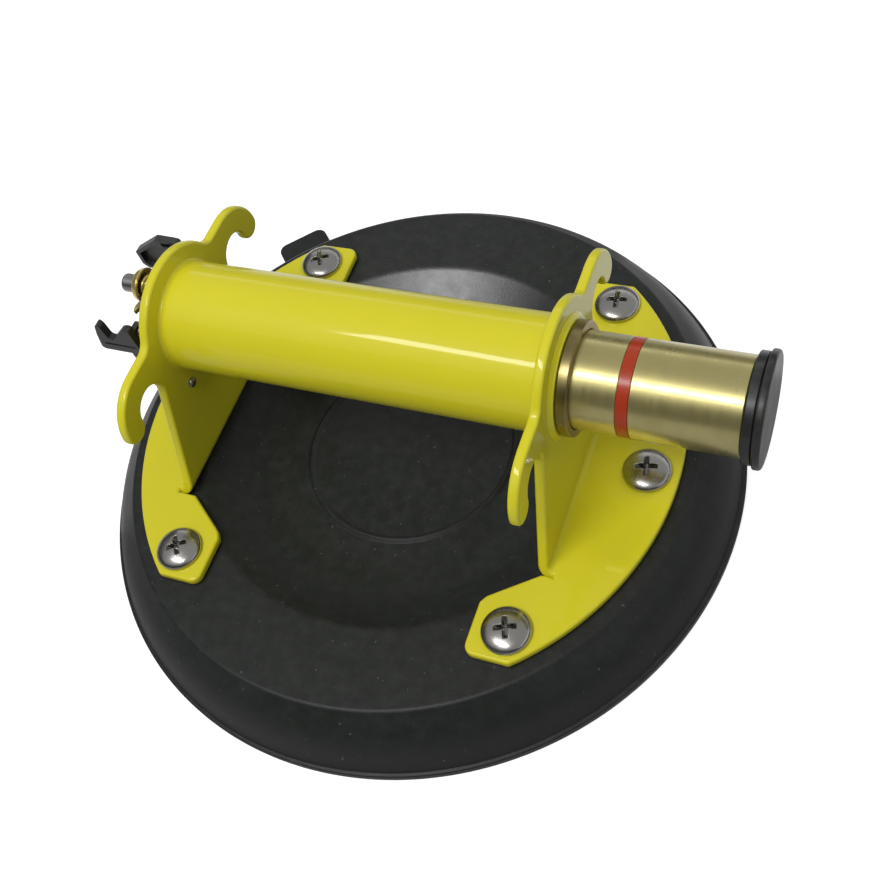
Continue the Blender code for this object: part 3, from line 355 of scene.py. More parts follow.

# %% [markdown]
# ## Painted shade in the screws
# The cross in a screw lies in shade, and that shade is painted here. When the screw is made, each point of
# its recess is marked with a named attribute, and the group turns that mark into an uneven dark patch.

# %% Build the painted recess shade group
# A mask of the painted shade in a screw's recess.
RECESS_SHADE, start, end = group("Recess shade", {"Amount": 0.9, "Scale": 900.0}, "Mask")
mark = node(RECESS_SHADE, "ShaderNodeAttribute", attribute_name="recess").outputs["Fac"]
patchy = spread(RECESS_SHADE, noise_on(RECESS_SHADE, start.outputs["Scale"], 3.0), 0.3, 0.5, 0.75, 1.0)
mark = maths(RECESS_SHADE, "MULTIPLY", mark, patchy)
give(RECESS_SHADE, end, maths(RECESS_SHADE, "MULTIPLY", mark, start.outputs["Amount"], clamp=True))

# %% [markdown]
# ## Turning marks
# A lathe tool leaves fine rings round a turned piece. Noise that is read only along the axis, with a
# trace of the other two directions, gives rings of uneven depth that fade a little as they go round.

# %% Build the turning marks group
TURNED, start, end = group("Turning marks", {"Rings": 2500.0, "Fade": 40.0}, "Value")
place = node(TURNED, "ShaderNodeTexCoord").outputs["Object"]
scale = node(TURNED, "ShaderNodeCombineXYZ", {
    0: start.outputs["Rings"], 1: start.outputs["Fade"], 2: start.outputs["Fade"],
}).outputs[0]
place = node(TURNED, "ShaderNodeVectorMath", {0: place, 1: scale}, operation="MULTIPLY").outputs[0]
give(TURNED, end, noise_on(TURNED, 1.0, 4.0, 0.7, place))

# %% [markdown]
# ## Starting a material
# Every material below starts from the Principled shader. Numbers and colours that are the same all over
# the surface go straight on its sockets, and only what changes over the surface gets nodes.

# %% Start a material
def finish(name, **sockets):
    """A material with its constants set straight on the shader's sockets."""
    made = bpy.data.materials.new(name)
    made.use_nodes = True
    tree = made.node_tree
    shader = tree.nodes["Principled BSDF"]
    for key, value in sockets.items():
        shader.inputs[key.replace("_", " ")].default_value = value
    return made, tree, shader


def bumped(tree, shader, height, distance, strength=1.0):
    """Lets a value between 0 and 1 raise the surface by a distance in metres."""
    relief = node(tree, "ShaderNodeBump", {"Strength": strength, "Distance": distance, "Height": height})
    tree.links.new(relief.outputs[0], shader.inputs["Normal"])


# %% [markdown]
# ## Rubber
# The pad is moulded from black rubber. It is satin, a little blotchy from the mould and from handling,
# and it holds pale dust. Two noises change its colour and gloss, and the finest one is its surface.

# %% Mix the rubber
RUBBER_DUST = 0.05
DUST_ON_RUBBER = (0.16, 0.165, 0.155)


def rubber_finish(name, base, blotch, roughness):
    made, tree, shader = finish(name, Specular_IOR_Level=0.38)
    clouds = effect(tree, GRAIN, Scale=110.0, Detail=5.0)
    tone = mixed(tree, swing(tree, clouds), base, blotch)
    mask = effect(tree, DUST, Amount=RUBBER_DUST, Scale=240.0)
    specks = spread(tree, effect(tree, GRAIN, Scale=620.0, Detail=1.0), 0.745, 0.80, 0.0, 0.35)
    tone = mixed(tree, maths(tree, "MAXIMUM", mask, specks), tone, DUST_ON_RUBBER)
    tree.links.new(tone, shader.inputs["Base Color"])
    uneven = swing(tree, clouds, roughness - 0.03, roughness + 0.03)
    dull = maths(tree, "MULTIPLY", mask, 0.5)
    tree.links.new(maths(tree, "ADD", uneven, dull), shader.inputs["Roughness"])
    bumped(tree, shader, effect(tree, GRAIN, Scale=1500.0, Detail=3.0), 0.00006)
    return made


PAD_RUBBER = rubber_finish("Pad rubber", (0.0098, 0.0114, 0.0102), (0.0124, 0.0142, 0.0127), 0.42)
SEAL_RUBBER = rubber_finish("Seal rubber", (0.008, 0.008, 0.008), (0.012, 0.012, 0.012), 0.5)
print("mixed", PAD_RUBBER.name, "and", SEAL_RUBBER.name)

# %% [markdown]
# ## Yellow paint
# The brackets and the tube are sprayed as one after welding. The coat is glossy with a soft orange peel.
# A clear coat on the shader gives the sharp part of the reflection, and the paint under it the broad one.

# %% Mix the paint
FRESH, THIN, RUBBED = (0.695, 0.633, 0.016), (0.675, 0.612, 0.015), (0.78, 0.74, 0.10)
DUST_ON_PAINT = (0.62, 0.60, 0.35)
YELLOW, tree, shader = finish("Yellow paint", Coat_Weight=0.8, Coat_Roughness=0.07, Coat_IOR=1.42,
                              Specular_IOR_Level=0.25)
clouds = effect(tree, GRAIN, Scale=22.0, Detail=4.0)
tone = mixed(tree, swing(tree, clouds), FRESH, THIN)
tone = mixed(tree, effect(tree, WEAR, Amount=0.35, Scale=220.0), tone, RUBBED)
tone = mixed(tree, effect(tree, DUST, Amount=0.02, Scale=300.0), tone, DUST_ON_PAINT)
tree.links.new(tone, shader.inputs["Base Color"])
tree.links.new(swing(tree, clouds, 0.44, 0.48), shader.inputs["Roughness"])
bumped(tree, shader, effect(tree, GRAIN, Scale=420.0, Detail=2.0), 0.00005, 0.5)
print("mixed", YELLOW.name)

# %% [markdown]
# ## Brass, steel and stainless
# The plunger is turned brass under a thin clear lacquer, so its reflections are long and soft. The pump's
# mouth and the fittings are the same brass, more handled or more dull, and the valve's ring is still
# bright. The screws are stainless with painted shade in their recess; the small lever parts are zinc
# plated.
# One function mixes them all: metals differ in colour, gloss, wear and how deep the turning marks are.

# %% Mix the metals
# The colour of the painted shade in a screw's recess.
RECESS_SHADE_TONE = (0.03, 0.027, 0.022)
BRIGHTER = 1.25


def metal_finish(name, base, tint, roughness, marks, rings=2500.0, wear=0.2, lacquer=0.0,
                 shine=1.0, recess_shade=0.0):
    """A turned metal. marks is the depth of its turning marks in metres."""
    made, tree, shader = finish(name, Metallic=shine, Coat_Weight=lacquer, Coat_Roughness=0.08)
    lines = effect(tree, TURNED, Rings=rings, Fade=60.0)
    clouds = effect(tree, GRAIN, Scale=90.0, Detail=4.0)
    tone = mixed(tree, spread(tree, clouds, 0.35, 0.7), base, tint)
    rubbed = tuple(min(1, BRIGHTER * c) for c in base)
    tone = mixed(tree, effect(tree, WEAR, Amount=wear, Scale=300.0), tone, rubbed)
    # Painted shade: the marked recess of a screw is darkened towards a near-black colour.
    if recess_shade:
        tone = mixed(tree, effect(tree, RECESS_SHADE, Amount=recess_shade), tone, RECESS_SHADE_TONE)
    tree.links.new(tone, shader.inputs["Base Color"])
    uneven = maths(tree, "ADD", swing(tree, lines, -0.05, 0.05), swing(tree, clouds, -0.03, 0.05))
    tree.links.new(maths(tree, "ADD", uneven, roughness), shader.inputs["Roughness"])
    bumped(tree, shader, lines, marks)
    return made


BRASS = metal_finish("Satin brass", (0.68, 0.60, 0.26), (0.61, 0.53, 0.22), 0.31, 0.000001,
                     rings=700.0, wear=0.0, lacquer=0.5, shine=0.88)
GOLD_BRASS = metal_finish("Gold brass", (0.86, 0.72, 0.28), (0.78, 0.63, 0.22), 0.20, 0.000004,
                          shine=0.8)
WORN_BRASS = metal_finish("Worn brass", (0.40, 0.33, 0.15), (0.30, 0.24, 0.10), 0.33, 0.000006,
                          rings=900.0)
DULL_BRASS = metal_finish("Dull brass", (0.46, 0.38, 0.18), (0.36, 0.29, 0.13), 0.34, 0.00001,
                          rings=1800.0)
# The screws get painted shade in their recess.
STAINLESS = metal_finish("Stainless steel", (0.52, 0.51, 0.485), (0.45, 0.44, 0.42), 0.24, 0.000001,
                         rings=300.0, wear=0.0, recess_shade=0.40)
ZINC = metal_finish("Zinc plated steel", (0.48, 0.48, 0.47), (0.38, 0.38, 0.36), 0.33, 0.00001,
                    rings=1200.0)
METALS = (BRASS, GOLD_BRASS, WORN_BRASS, DULL_BRASS, STAINLESS, ZINC)
print("mixed", ", ".join(metal.name for metal in METALS))

# %% [markdown]
# ## Plastics and felt
# The plunger's cap and the lever are moulded plastic with a fine texture, the band is red enamel, and
# the air filter at the port is a bit of pale felt.

# %% Mix the plastics and the felt
DUST_ON_PLASTIC = (0.22, 0.22, 0.21)


def plastic_finish(name, base, tint, roughness, texture, dust=0.15):
    made, tree, shader = finish(name)
    clouds = effect(tree, GRAIN, Scale=120.0, Detail=4.0)
    tone = mixed(tree, swing(tree, clouds), base, tint)
    rubbed = tuple(2.2 * c + 0.01 for c in base)
    tone = mixed(tree, effect(tree, WEAR, Amount=0.3, Scale=250.0), tone, rubbed)
    tone = mixed(tree, effect(tree, DUST, Amount=dust, Scale=180.0), tone, DUST_ON_PLASTIC)
    tree.links.new(tone, shader.inputs["Base Color"])
    uneven = swing(tree, clouds, roughness - 0.04, roughness + 0.06)
    tree.links.new(uneven, shader.inputs["Roughness"])
    bumped(tree, shader, effect(tree, GRAIN, Scale=2200.0, Detail=2.0), texture)
    return made


CAP_PLASTIC = plastic_finish("Cap plastic", (0.016, 0.017, 0.016), (0.022, 0.023, 0.021), 0.32, 0.00002)
LEVER_PLASTIC = plastic_finish("Lever plastic", (0.021, 0.023, 0.022), (0.029, 0.031, 0.029), 0.38, 0.00004)
RED = plastic_finish("Red enamel", (0.40, 0.036, 0.008), (0.36, 0.032, 0.007), 0.24, 0.00001, 0.02)
FELT = plastic_finish("Filter felt", (0.50, 0.48, 0.42), (0.40, 0.38, 0.32), 0.88, 0.0003, 0.3)
print("mixed", CAP_PLASTIC.name, LEVER_PLASTIC.name, RED.name, FELT.name)

# %% [markdown]
# ## The rubber pad
# The pad is one moulding: a thin lip that seals on the glass, a sloping skirt, a flat ring with a steel
# plate inside it, and a dish in the middle with a low round ridge. All of that is one profile turned
# about Z. Only the release tab isn't round, so it is raised from an outline and added with a Boolean.

# %% Draw the pad's profile
PAD_RADIUS = 0.127
RIM_HEIGHT = 0.0036
CAVITY_DEPTH = 0.0065
LIP_INNER = 0.118
RING_TOP = 0.025
RING_OUTER = 0.1112
RING_INNER = 0.083
DISH_TOP = 0.0135
SLOPE, RING_EASE, DISH_EASE = math.radians(28), 0.006, 0.040
SKIRT_MIDDLE = (0.1207, 0.0160, 0.030)
RIDGE_RADIUS, RIDGE_HALF, RIDGE_RISE = 0.0410, 0.0016, 0.0011


def dish_wall():
    """The slope from the ring down into the dish, with an arc into it and a larger one out of it."""
    lean = math.degrees(SLOPE)
    top = arc((RING_INNER, RING_TOP - RING_EASE), RING_EASE, 90, 90 + lean, 7)
    fall = top[-1][1] - DISH_TOP - DISH_EASE * (1 - math.cos(SLOPE))
    flat = top[-1][0] - fall / math.tan(SLOPE) - DISH_EASE * math.sin(SLOPE)
    return top + arc((flat, DISH_TOP + DISH_EASE), DISH_EASE, lean - 90, -90, 14)


edge = PAD_RADIUS
outside = eased([
    (0.0, CAVITY_DEPTH), (LIP_INNER - 0.012, CAVITY_DEPTH, 0.004), (LIP_INNER, 0.0, 0.0006),
    (edge, 0.0, 0.0008), (edge, RIM_HEIGHT, 0.0006), (edge - 0.0014, RIM_HEIGHT + 0.0004, 0.0005),
    SKIRT_MIDDLE, (RING_OUTER, RING_TOP, 0.0026), (RING_INNER, RING_TOP),
], step=6, closed=False)
ridge = eased([
    (0.05, DISH_TOP), (RIDGE_RADIUS + RIDGE_HALF, DISH_TOP, 0.0005),
    (RIDGE_RADIUS, DISH_TOP + RIDGE_RISE, 0.0007), (RIDGE_RADIUS - RIDGE_HALF, DISH_TOP, 0.0005),
    (0.0, DISH_TOP),
], closed=False)
profile = outside[:-1] + dish_wall() + ridge[1:]
pad = lathe("suction_pad", profile, 240)
print("the pad's profile has", len(profile), "points")

# %% Add the release tab
TAB_ANGLE = math.radians(134)
TAB_HALF, TAB_NEAR, TAB_FAR = 0.0115, 0.1205, 0.1405
TAB_LOW, TAB_HIGH = 0.0025, 0.0063
TAB_ROUND, TAB_FLARE, TAB_NECK = 0.004, 0.003, 0.006
tab = eased([
    (TAB_NEAR, -TAB_HALF - TAB_FLARE), (TAB_NEAR + TAB_NECK, -TAB_HALF, TAB_ROUND),
    (TAB_FAR, -TAB_HALF, TAB_ROUND), (TAB_FAR, TAB_HALF, TAB_ROUND),
    (TAB_NEAR + TAB_NECK, TAB_HALF, TAB_ROUND), (TAB_NEAR, TAB_HALF + TAB_FLARE),
])
cos, sin = math.cos(TAB_ANGLE), math.sin(TAB_ANGLE)
tab = [(x * cos - y * sin, x * sin + y * cos) for x, y in tab]
tab = bevelled(raised("tab", tab, "Z", TAB_LOW, TAB_HIGH), 0.0009)
joined(pad, tab, "UNION")
print("the tab is", round(2000 * TAB_HALF), "mm wide")

# %% Cut the seat of the port
PIPE_X, PIPE_Y = -0.056, 0.026
SEAT_RADIUS = 0.0083
seat = rod("port_seat", SEAT_RADIUS, DISH_TOP, RING_TOP, 48, (PIPE_X, PIPE_Y, 0.0))
smooth(joined(pad, seat), 45)
placed(pad, PAD_RUBBER, "frame", "pad_rubber", "rubber_pad")

# %% [markdown]
# ## The brackets
# Each bracket is one laser cut sheet, bent up by a right angle and painted. The flange follows the pad's
# ring and ends in two ears. The upright web leans in to two open hooks and a round crown, and the tube
# passes through it. The web is what its bent section and its outline have in common, which keeps the
# bend true. Flange and web get their edges rounded one by one, and only then are they joined, because a
# bevel across the fresh seam between them would leave slivers.
#
# GAP is the clearance between two pieces that are fitted together, and OVER is how far a drill goes past
# the sheet: a cutter that ends exactly on a face can leave a skin there.

# %% Draw a web with its hooks and crown
GAP = 0.0003
SHEET = 0.0037
BEND_RADIUS = 0.0022
LEFT_WEB, RIGHT_WEB = -0.072, 0.0684
FLANGE_LOW = RING_TOP + GAP
FLANGE_HIGH = FLANGE_LOW + SHEET
HANDLE_Z = 0.081
HOOK = (0.0362, 0.076)
HOOK_RADIUS, HOOK_GAP, TIP_RISE = 0.0172, 0.0073, 0.0011
CROWN_RADIUS, CROWN_FILLET = 0.02675, 0.006
WEB_LEAN = math.radians(20.7)


def web_outline(drop=0.0):
    """Half of it runs up the +y side: foot, hook gap, tip, hook back, fillet and crown."""
    hook = (HOOK[0], HOOK[1] - drop)
    touch = (hook[0] - HOOK_GAP * math.cos(WEB_LEAN), hook[1] - HOOK_GAP * math.sin(WEB_LEAN))
    foot = touch[0] + touch[1] * math.tan(WEB_LEAN)
    rise = [math.degrees(math.asin(TIP_RISE / r)) for r in (HOOK_GAP, HOOK_RADIUS)]
    gap = arc(hook, HOOK_GAP, 180 + math.degrees(WEB_LEAN), rise[0], 20)
    back = arc(hook, HOOK_RADIUS, rise[1], 90, 14)
    half_tip = (back[0][0] - gap[-1][0]) / 2
    tip = arc((gap[-1][0] + half_tip, hook[1] + TIP_RISE), half_tip, 180, 360, 14)
    lift = hook[1] + HOOK_RADIUS + CROWN_FILLET - HANDLE_Z
    across = math.sqrt((CROWN_RADIUS + CROWN_FILLET)**2 - lift**2)
    meet = math.degrees(math.atan2(lift, across))
    fillet = arc((across, HANDLE_Z + lift), CROWN_FILLET, -90, meet - 180, 8)
    crown = arc((0.0, HANDLE_Z), CROWN_RADIUS, meet, 90, 16)
    half = [(foot, 0.0)] + gap + tip[1:-1] + back + fillet[1:] + crown[1:]
    return half + [(-y, z) for y, z in reversed(half[:-1])]


WEB = web_outline()
WEB_FOOT = WEB[0][0] + (WEB[1][0] - WEB[0][0]) * FLANGE_LOW / WEB[1][1]
print("a web is", round(WEB_FOOT * 2000, 1), "mm wide at its foot")

# %% Draw the flange with its ears
FLANGE_RADIUS = 0.1063
EAR_SIDE, EAR_END, EAR_CORNER = 0.0523, 0.081, 0.0039
SCREWS = [
    (-0.065, -0.0702), (0.065, -0.0702), (0.065, 0.0702), (-0.065, 0.0702), (0.09475, 0.0), (-0.09475, 0.0),
]
WEB_TOP, TONGUE = 0.12, 0.004


def flange_outline(inner):
    """Seen from above, as (distance from the pad's centre, y). inner is the web's inner face."""
    flat, relief = inner + SHEET + BEND_RADIUS, WEB_FOOT - 0.0004
    corners = [
        (flat, relief), (0.0700, relief), (0.0538, 0.0593, 0.004), (EAR_SIDE, 0.0619, 0.002),
        (EAR_SIDE, EAR_END, EAR_CORNER), (math.sqrt(FLANGE_RADIUS**2 - EAR_END**2), EAR_END, 0.0018),
    ]
    start = math.degrees(math.asin(EAR_END / FLANGE_RADIUS)) - 2
    corners += arc((0.0, 0.0), FLANGE_RADIUS, start, 0, 26)
    half = eased(corners, closed=False)
    return half + [(x, -y) for x, y in reversed(half[:-1])]


def bent_section(inner):
    """Seen along y, as (distance from the pad's centre, z): down the web, then a tongue of flange."""
    flat = inner + SHEET + BEND_RADIUS
    centre = (flat, FLANGE_HIGH + BEND_RADIUS)
    section = [(inner, WEB_TOP)] + arc(centre, BEND_RADIUS + SHEET, 180, 270, 12)
    section += [(flat + TONGUE, FLANGE_LOW), (flat + TONGUE, FLANGE_HIGH)]
    return section + arc(centre, BEND_RADIUS, 270, 180, 12) + [(inner + SHEET, WEB_TOP)]


print("the flange's outline has", len(flange_outline(RIGHT_WEB)), "points")

# %% Build both brackets
HANDLE_RADIUS = 0.0198
EDGE = 0.0011
WEB_HALF = 0.07
SCREW_HOLE, OVER = 0.0043, 0.001


def bracket(name, side, inner, drop, node_name):
    """side is -1 on the left and 1 on the right, and drop is how much lower the hooks hang."""
    plate = [(side * x, y) for x, y in flange_outline(inner)]
    plate = bevelled(raised(name, plate, "Z", FLANGE_LOW, FLANGE_HIGH), EDGE, 50)
    web = [(side * x, z) for x, z in bent_section(inner)]
    web = raised("web", web, "Y", -WEB_HALF, WEB_HALF)
    reach = sorted((side * (inner - 0.01), side * (inner + 0.03)))
    joined(web, raised("outline", web_outline(drop), "X", *reach), "INTERSECT")
    joined(plate, bevelled(web, EDGE, 50), "UNION")
    joined(plate, rod("bore", HANDLE_RADIUS + GAP, *reach, 64, (0.0, 0.0, HANDLE_Z), "X"))
    for x, y in SCREWS:
        if x * side > 0:
            joined(plate, rod("hole", SCREW_HOLE, FLANGE_LOW - OVER, FLANGE_HIGH + OVER, 32, (x, y, 0.0)))
    placed(smooth(plate, 40), YELLOW, "frame", "yellow_paint", node_name)


bracket("bracket_left", -1, -LEFT_WEB, 0.0014, "left_bracket")
bracket("bracket_right", 1, RIGHT_WEB, 0.0, "right_bracket")

# %% [markdown]
# ## The handle tube
# The grip is a plain steel tube. It runs through both webs, with a small weld fillet inside each and a
# low collar outside the right one. Tube, fillets and collar are painted together and show no gap, so
# they are one turned profile here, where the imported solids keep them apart.

# %% Turn the handle
TUBE_BORE = 0.0183
WELD, COLLAR = 0.0011, 0.0015
LEFT_OUTER, RIGHT_OUTER = LEFT_WEB - SHEET, RIGHT_WEB + SHEET
HANDLE_END = RIGHT_OUTER + 0.0017
MIDDLE = (0.0, 0.0, HANDLE_Z)
R = HANDLE_RADIUS


def cove(face, away):
    """A hollow fillet from the web's face down to the tube, as (radius, x)."""
    points = [(R + WELD - WELD * math.cos(t), face + away * (WELD - WELD * math.sin(t)))
              for t in [math.pi / 2 * k / 8 for k in range(9)]]
    return points if away < 0 else points[::-1]


tube = eased([(TUBE_BORE, LEFT_OUTER, 0.0003), (R, LEFT_OUTER, 0.0004), (R, LEFT_WEB - 0.0006)])
tube += [(R + WELD, LEFT_WEB - 0.0003)] + cove(LEFT_WEB, 1) + cove(RIGHT_WEB, -1)
tube += [(R + WELD, RIGHT_WEB + 0.0003), (R, RIGHT_WEB + 0.0006), (R, RIGHT_OUTER - 0.0006)]
tube += eased([
    (R, RIGHT_OUTER - 0.0006), (R + COLLAR, RIGHT_OUTER - 0.0004),
    (R + COLLAR, RIGHT_OUTER + 0.0003, 0.0004), (R + 0.0004, HANDLE_END - 0.0004, 0.0004),
    (R + 0.0002, HANDLE_END, 0.0003), (TUBE_BORE, HANDLE_END, 0.0003), (TUBE_BORE, HANDLE_END - 0.003),
], closed=False)
handle = smooth(lathe("handle", tube, 128, MIDDLE, "X"), 35)
placed(handle, YELLOW, "frame", "yellow_paint", "handle_tube", "weld_left", "weld_right", "weld_collar")

# %% [markdown]
# ## The pump's mouth and plunger
# The brass barrel closes with a flanged mouth and a rubber wiper. Out of it slides the plunger: a brass
# tube, a red band in a shallow groove, and a black cap. These are turned on a lathe, so they are turned
# here too, with small radii on every corner to catch the light. LIP is the thin edge that holds the
# wiper in, and FIT is the play of a ring in its groove.

# %% Turn the barrel and its wiper
MOUTH_START = HANDLE_END + GAP
MOUTH_END = MOUTH_START + 0.0035
MOUTH_RADIUS = 0.0191
BARREL_RADIUS, BARREL_BORE, BARREL_START = 0.0180, 0.0170, -0.016
PLUNGER_RADIUS = 0.01617
NECK_BORE = PLUNGER_RADIUS + 0.00023
NECK_START = MOUTH_START - 0.008
LIP, FIT = 0.0006, 0.00015
WIPER_OUT, WIPER_START = PLUNGER_RADIUS + 0.0015, MOUTH_END - 0.0022
barrel = eased([
    (BARREL_BORE, BARREL_START, 0.0002), (BARREL_RADIUS, BARREL_START, 0.0002),
    (BARREL_RADIUS, MOUTH_START), (MOUTH_RADIUS, MOUTH_START, 0.0002), (MOUTH_RADIUS, MOUTH_END, 0.0005),
    (PLUNGER_RADIUS + GAP, MOUTH_END, 0.0002), (PLUNGER_RADIUS + GAP, MOUTH_END - LIP),
    (WIPER_OUT, MOUTH_END - LIP), (WIPER_OUT, WIPER_START), (NECK_BORE, WIPER_START),
    (NECK_BORE, NECK_START, 0.0003), (BARREL_BORE, NECK_START),
])
barrel = lathe("pump_mouth", barrel, 128, MIDDLE, "X")
placed(smooth(barrel, 35), WORN_BRASS, "frame", "satin_brass", "pump_barrel")
wiper = eased([
    (PLUNGER_RADIUS + FIT, WIPER_START + FIT), (WIPER_OUT - FIT, WIPER_START + FIT),
    (WIPER_OUT - FIT, MOUTH_END - 0.0008, 0.0002), (PLUNGER_RADIUS + FIT, MOUTH_END - 0.0011, 0.0002),
])
wiper = lathe("wiper_ring", wiper, 96, MIDDLE, "X")
placed(smooth(wiper), SEAL_RUBBER, "frame", "black_rubber", "barrel_wiper")

# %% Turn the plunger and its band
BAND_START, BAND_END = 0.0923, 0.0962
GROOVE = PLUNGER_RADIUS - 0.0006
PLUNGER_BORE, PLUNGER_END = 0.01487, 0.1308
PISTON_FRONT = NECK_START - GAP
plunger = eased([
    (PLUNGER_BORE, PISTON_FRONT + GAP), (PLUNGER_RADIUS, PISTON_FRONT + GAP, 0.0003),
    (PLUNGER_RADIUS, BAND_START - FIT, 0.00012), (GROOVE, BAND_START - FIT),
    (GROOVE, BAND_END + FIT), (PLUNGER_RADIUS, BAND_END + FIT, 0.00012),
    (PLUNGER_RADIUS, PLUNGER_END - GAP, 0.0004), (PLUNGER_BORE, PLUNGER_END - GAP, 0.0002),
])
plunger = lathe("brass_plunger", plunger, 160, MIDDLE, "X")
placed(smooth(plunger, 35), BRASS, "plunger", "satin_brass", "plunger_tube")
band = eased([
    (GROOVE + FIT, BAND_START), (PLUNGER_RADIUS, BAND_START, 0.0002),
    (PLUNGER_RADIUS, BAND_END, 0.0002), (GROOVE + FIT, BAND_END),
])
band = lathe("indicator_band", band, 160, MIDDLE, "X")
placed(smooth(band), RED, "plunger", "red_plastic", "red_band")

# %% Turn the cap
CAP_PLUG, CAP_DEPTH = 0.01457, 0.009
CAP_STEP, CAP_NECK, CAP_RADIUS = 0.0178, 0.0169, 0.0188
CAP_END = PLUNGER_END + 0.0060
cap = eased([
    (0.0, PLUNGER_END - CAP_DEPTH), (CAP_PLUG, PLUNGER_END - CAP_DEPTH, 0.0005),
    (CAP_PLUG, PLUNGER_END, 0.0003), (CAP_STEP, PLUNGER_END, 0.0004),
    (CAP_STEP, PLUNGER_END + 0.0030, 0.0004), (CAP_NECK, PLUNGER_END + 0.0030, 0.0002),
    (CAP_NECK, PLUNGER_END + 0.0034, 0.0002), (CAP_RADIUS, PLUNGER_END + 0.0035, 0.0004),
    (CAP_RADIUS, CAP_END, 0.0010), (0.0, CAP_END),
], closed=False)
cap = lathe("cap", cap, 128, MIDDLE, "X")
placed(smooth(cap, 35), CAP_PLASTIC, "plunger", "black_plastic", "plunger_cap")

# %% [markdown]
# ## Six pad screws
# The same truss head screw holds both brackets down in six places. The head is turned, and its cross
# recess is cut with a tapered cross. Geometry Nodes then put one copy at each point of a small mesh, and
# a named attribute on those points says how far each screw happened to be turned when it was tight.
#
# The screw is made round the world's own origin, not the pad's centre, because the copies are moved.

# %% Turn one screw
SCREW_LOW = 0.0126
HEAD = FLANGE_HIGH + GAP
HEAD_RADIUS, HEAD_HEIGHT, HEAD_RIM, SHANK = 0.0088, 0.0041, 0.0007, 0.004
HEAD_TOP, DOME = HEAD + HEAD_HEIGHT, HEAD_HEIGHT - HEAD_RIM
ORIGIN = (-PAD_X, 0.0, 0.0)
dome = [(HEAD_RADIUS * math.cos(t), HEAD + HEAD_RIM + DOME * math.sin(t))
        for t in [math.pi / 2 * k / 12 for k in range(12)]]
shank = eased([
    (0.0, SCREW_LOW), (SHANK, SCREW_LOW, 0.0008), (SHANK, HEAD), (HEAD_RADIUS, HEAD, 0.0003),
    (HEAD_RADIUS, HEAD + HEAD_RIM),
], closed=False)
screw = lathe("screw", shank[:-1] + dome + [(0.0, HEAD_TOP)], 48, ORIGIN)
print("the head is", round(2000 * HEAD_RADIUS, 1), "mm wide")

# %% Cut its recess and mark the points in it
ARM_HALF, ARM_REACH, ARM_ROUND = 0.00118, 0.0051, 0.0003
RECESS_DEPTH, RECESS_TAPER, RECESS_SHARE = 0.0030, 0.38, 0.6
MARK_DEPTH = 0.00035
w, r = ARM_HALF, ARM_REACH
cross = [(w, -r), (w, -w), (r, -w), (r, w), (w, w), (w, r)]
cross = [(x, y, ARM_ROUND) for x, y in cross + [(-x, -y) for x, y in cross]]
cross = raised("cross", eased(cross, 30), "Z", HEAD_TOP - RECESS_DEPTH, HEAD_TOP + OVER, ORIGIN)
for corner in cross.data.vertices:
    if corner.co.z < HEAD_TOP:
        corner.co.x *= RECESS_TAPER
        corner.co.y *= RECESS_TAPER
smooth(bevelled(joined(screw, cross), 0.00018, 35, 2), 40)
# Points deep in the recess are marked, and the material paints shade on them.
marks = []
for corner in screw.data.vertices:
    reach = min(1.0, math.hypot(*corner.co.xy) / HEAD_RADIUS)
    skin = HEAD + HEAD_RIM + DOME * math.sqrt(1 - reach**2)
    inside = reach < RECESS_SHARE and HEAD < corner.co.z < skin - MARK_DEPTH
    marks.append(1.0 if inside else 0.0)
screw.data.attributes.new("recess", "FLOAT", "POINT").data.foreach_set("value", marks)
print("one screw has", len(screw.data.polygons), "faces")

# %% Build the tree that places copies on points
def tree_for(name, inputs):
    """A geometry tree with named inputs. Returns it, its input node and its output node."""
    made = bpy.data.node_groups.new(name, "GeometryNodeTree")
    made.interface.new_socket("Geometry", in_out="INPUT", socket_type="NodeSocketGeometry")
    for label, kind in inputs.items():
        made.interface.new_socket(label, in_out="INPUT", socket_type=f"NodeSocket{kind}")
    made.interface.new_socket("Geometry", in_out="OUTPUT", socket_type="NodeSocketGeometry")
    return made, made.nodes.new("NodeGroupInput"), made.nodes.new("NodeGroupOutput")


def grown(name, tree, values, points=((0.0, 0.0, 0.0),), turns=None):
    """Runs a geometry tree on a few points and keeps the result as a plain mesh."""
    obj = piece(name, points, [])
    if turns:
        obj.data.attributes.new("turn", "FLOAT", "POINT").data.foreach_set("value", turns)
    step = obj.modifiers.new("Grow", "NODES")
    step.node_group = tree
    for item in tree.interface.items_tree:
        if item.in_out == "INPUT" and item.name in values:
            step[item.identifier] = values[item.name]
    return settled(obj)


COPIES, start, end = tree_for("Screws on points", {"Screw": "Object", "Finish": "Material"})
source = node(COPIES, "GeometryNodeObjectInfo", {"Object": start.outputs["Screw"]})
turned = node(COPIES, "GeometryNodeInputNamedAttribute", {"Name": "turn"}, data_type="FLOAT")
turned = node(COPIES, "ShaderNodeCombineXYZ", {2: turned.outputs[0]})
copies = node(COPIES, "GeometryNodeInstanceOnPoints", {
    "Points": start.outputs["Geometry"], "Instance": source.outputs["Geometry"],
    "Rotation": turned.outputs[0],
})
copies = node(COPIES, "GeometryNodeRealizeInstances", {"Geometry": copies.outputs[0]})
copies = node(COPIES, "GeometryNodeSetMaterial", {
    "Geometry": copies.outputs[0], "Material": start.outputs["Finish"],
})
COPIES.links.new(copies.outputs[0], end.inputs[0])
print("the tree has", len(COPIES.nodes), "nodes")

# %% Place the six screws
TURNS = [0.62, 0.35, 0.12, 0.50, 0.20, 0.80]
spots = [(x, y, 0.0) for x, y in SCREWS]
pad_screws = grown("pad_screws", COPIES, {"Screw": screw, "Finish": STAINLESS}, spots, TURNS)
bpy.data.objects.remove(screw, do_unlink=True)
placed(pad_screws, STAINLESS, "frame", "stainless", *[f"pad_screw_{i}" for i in range(1, 7)])

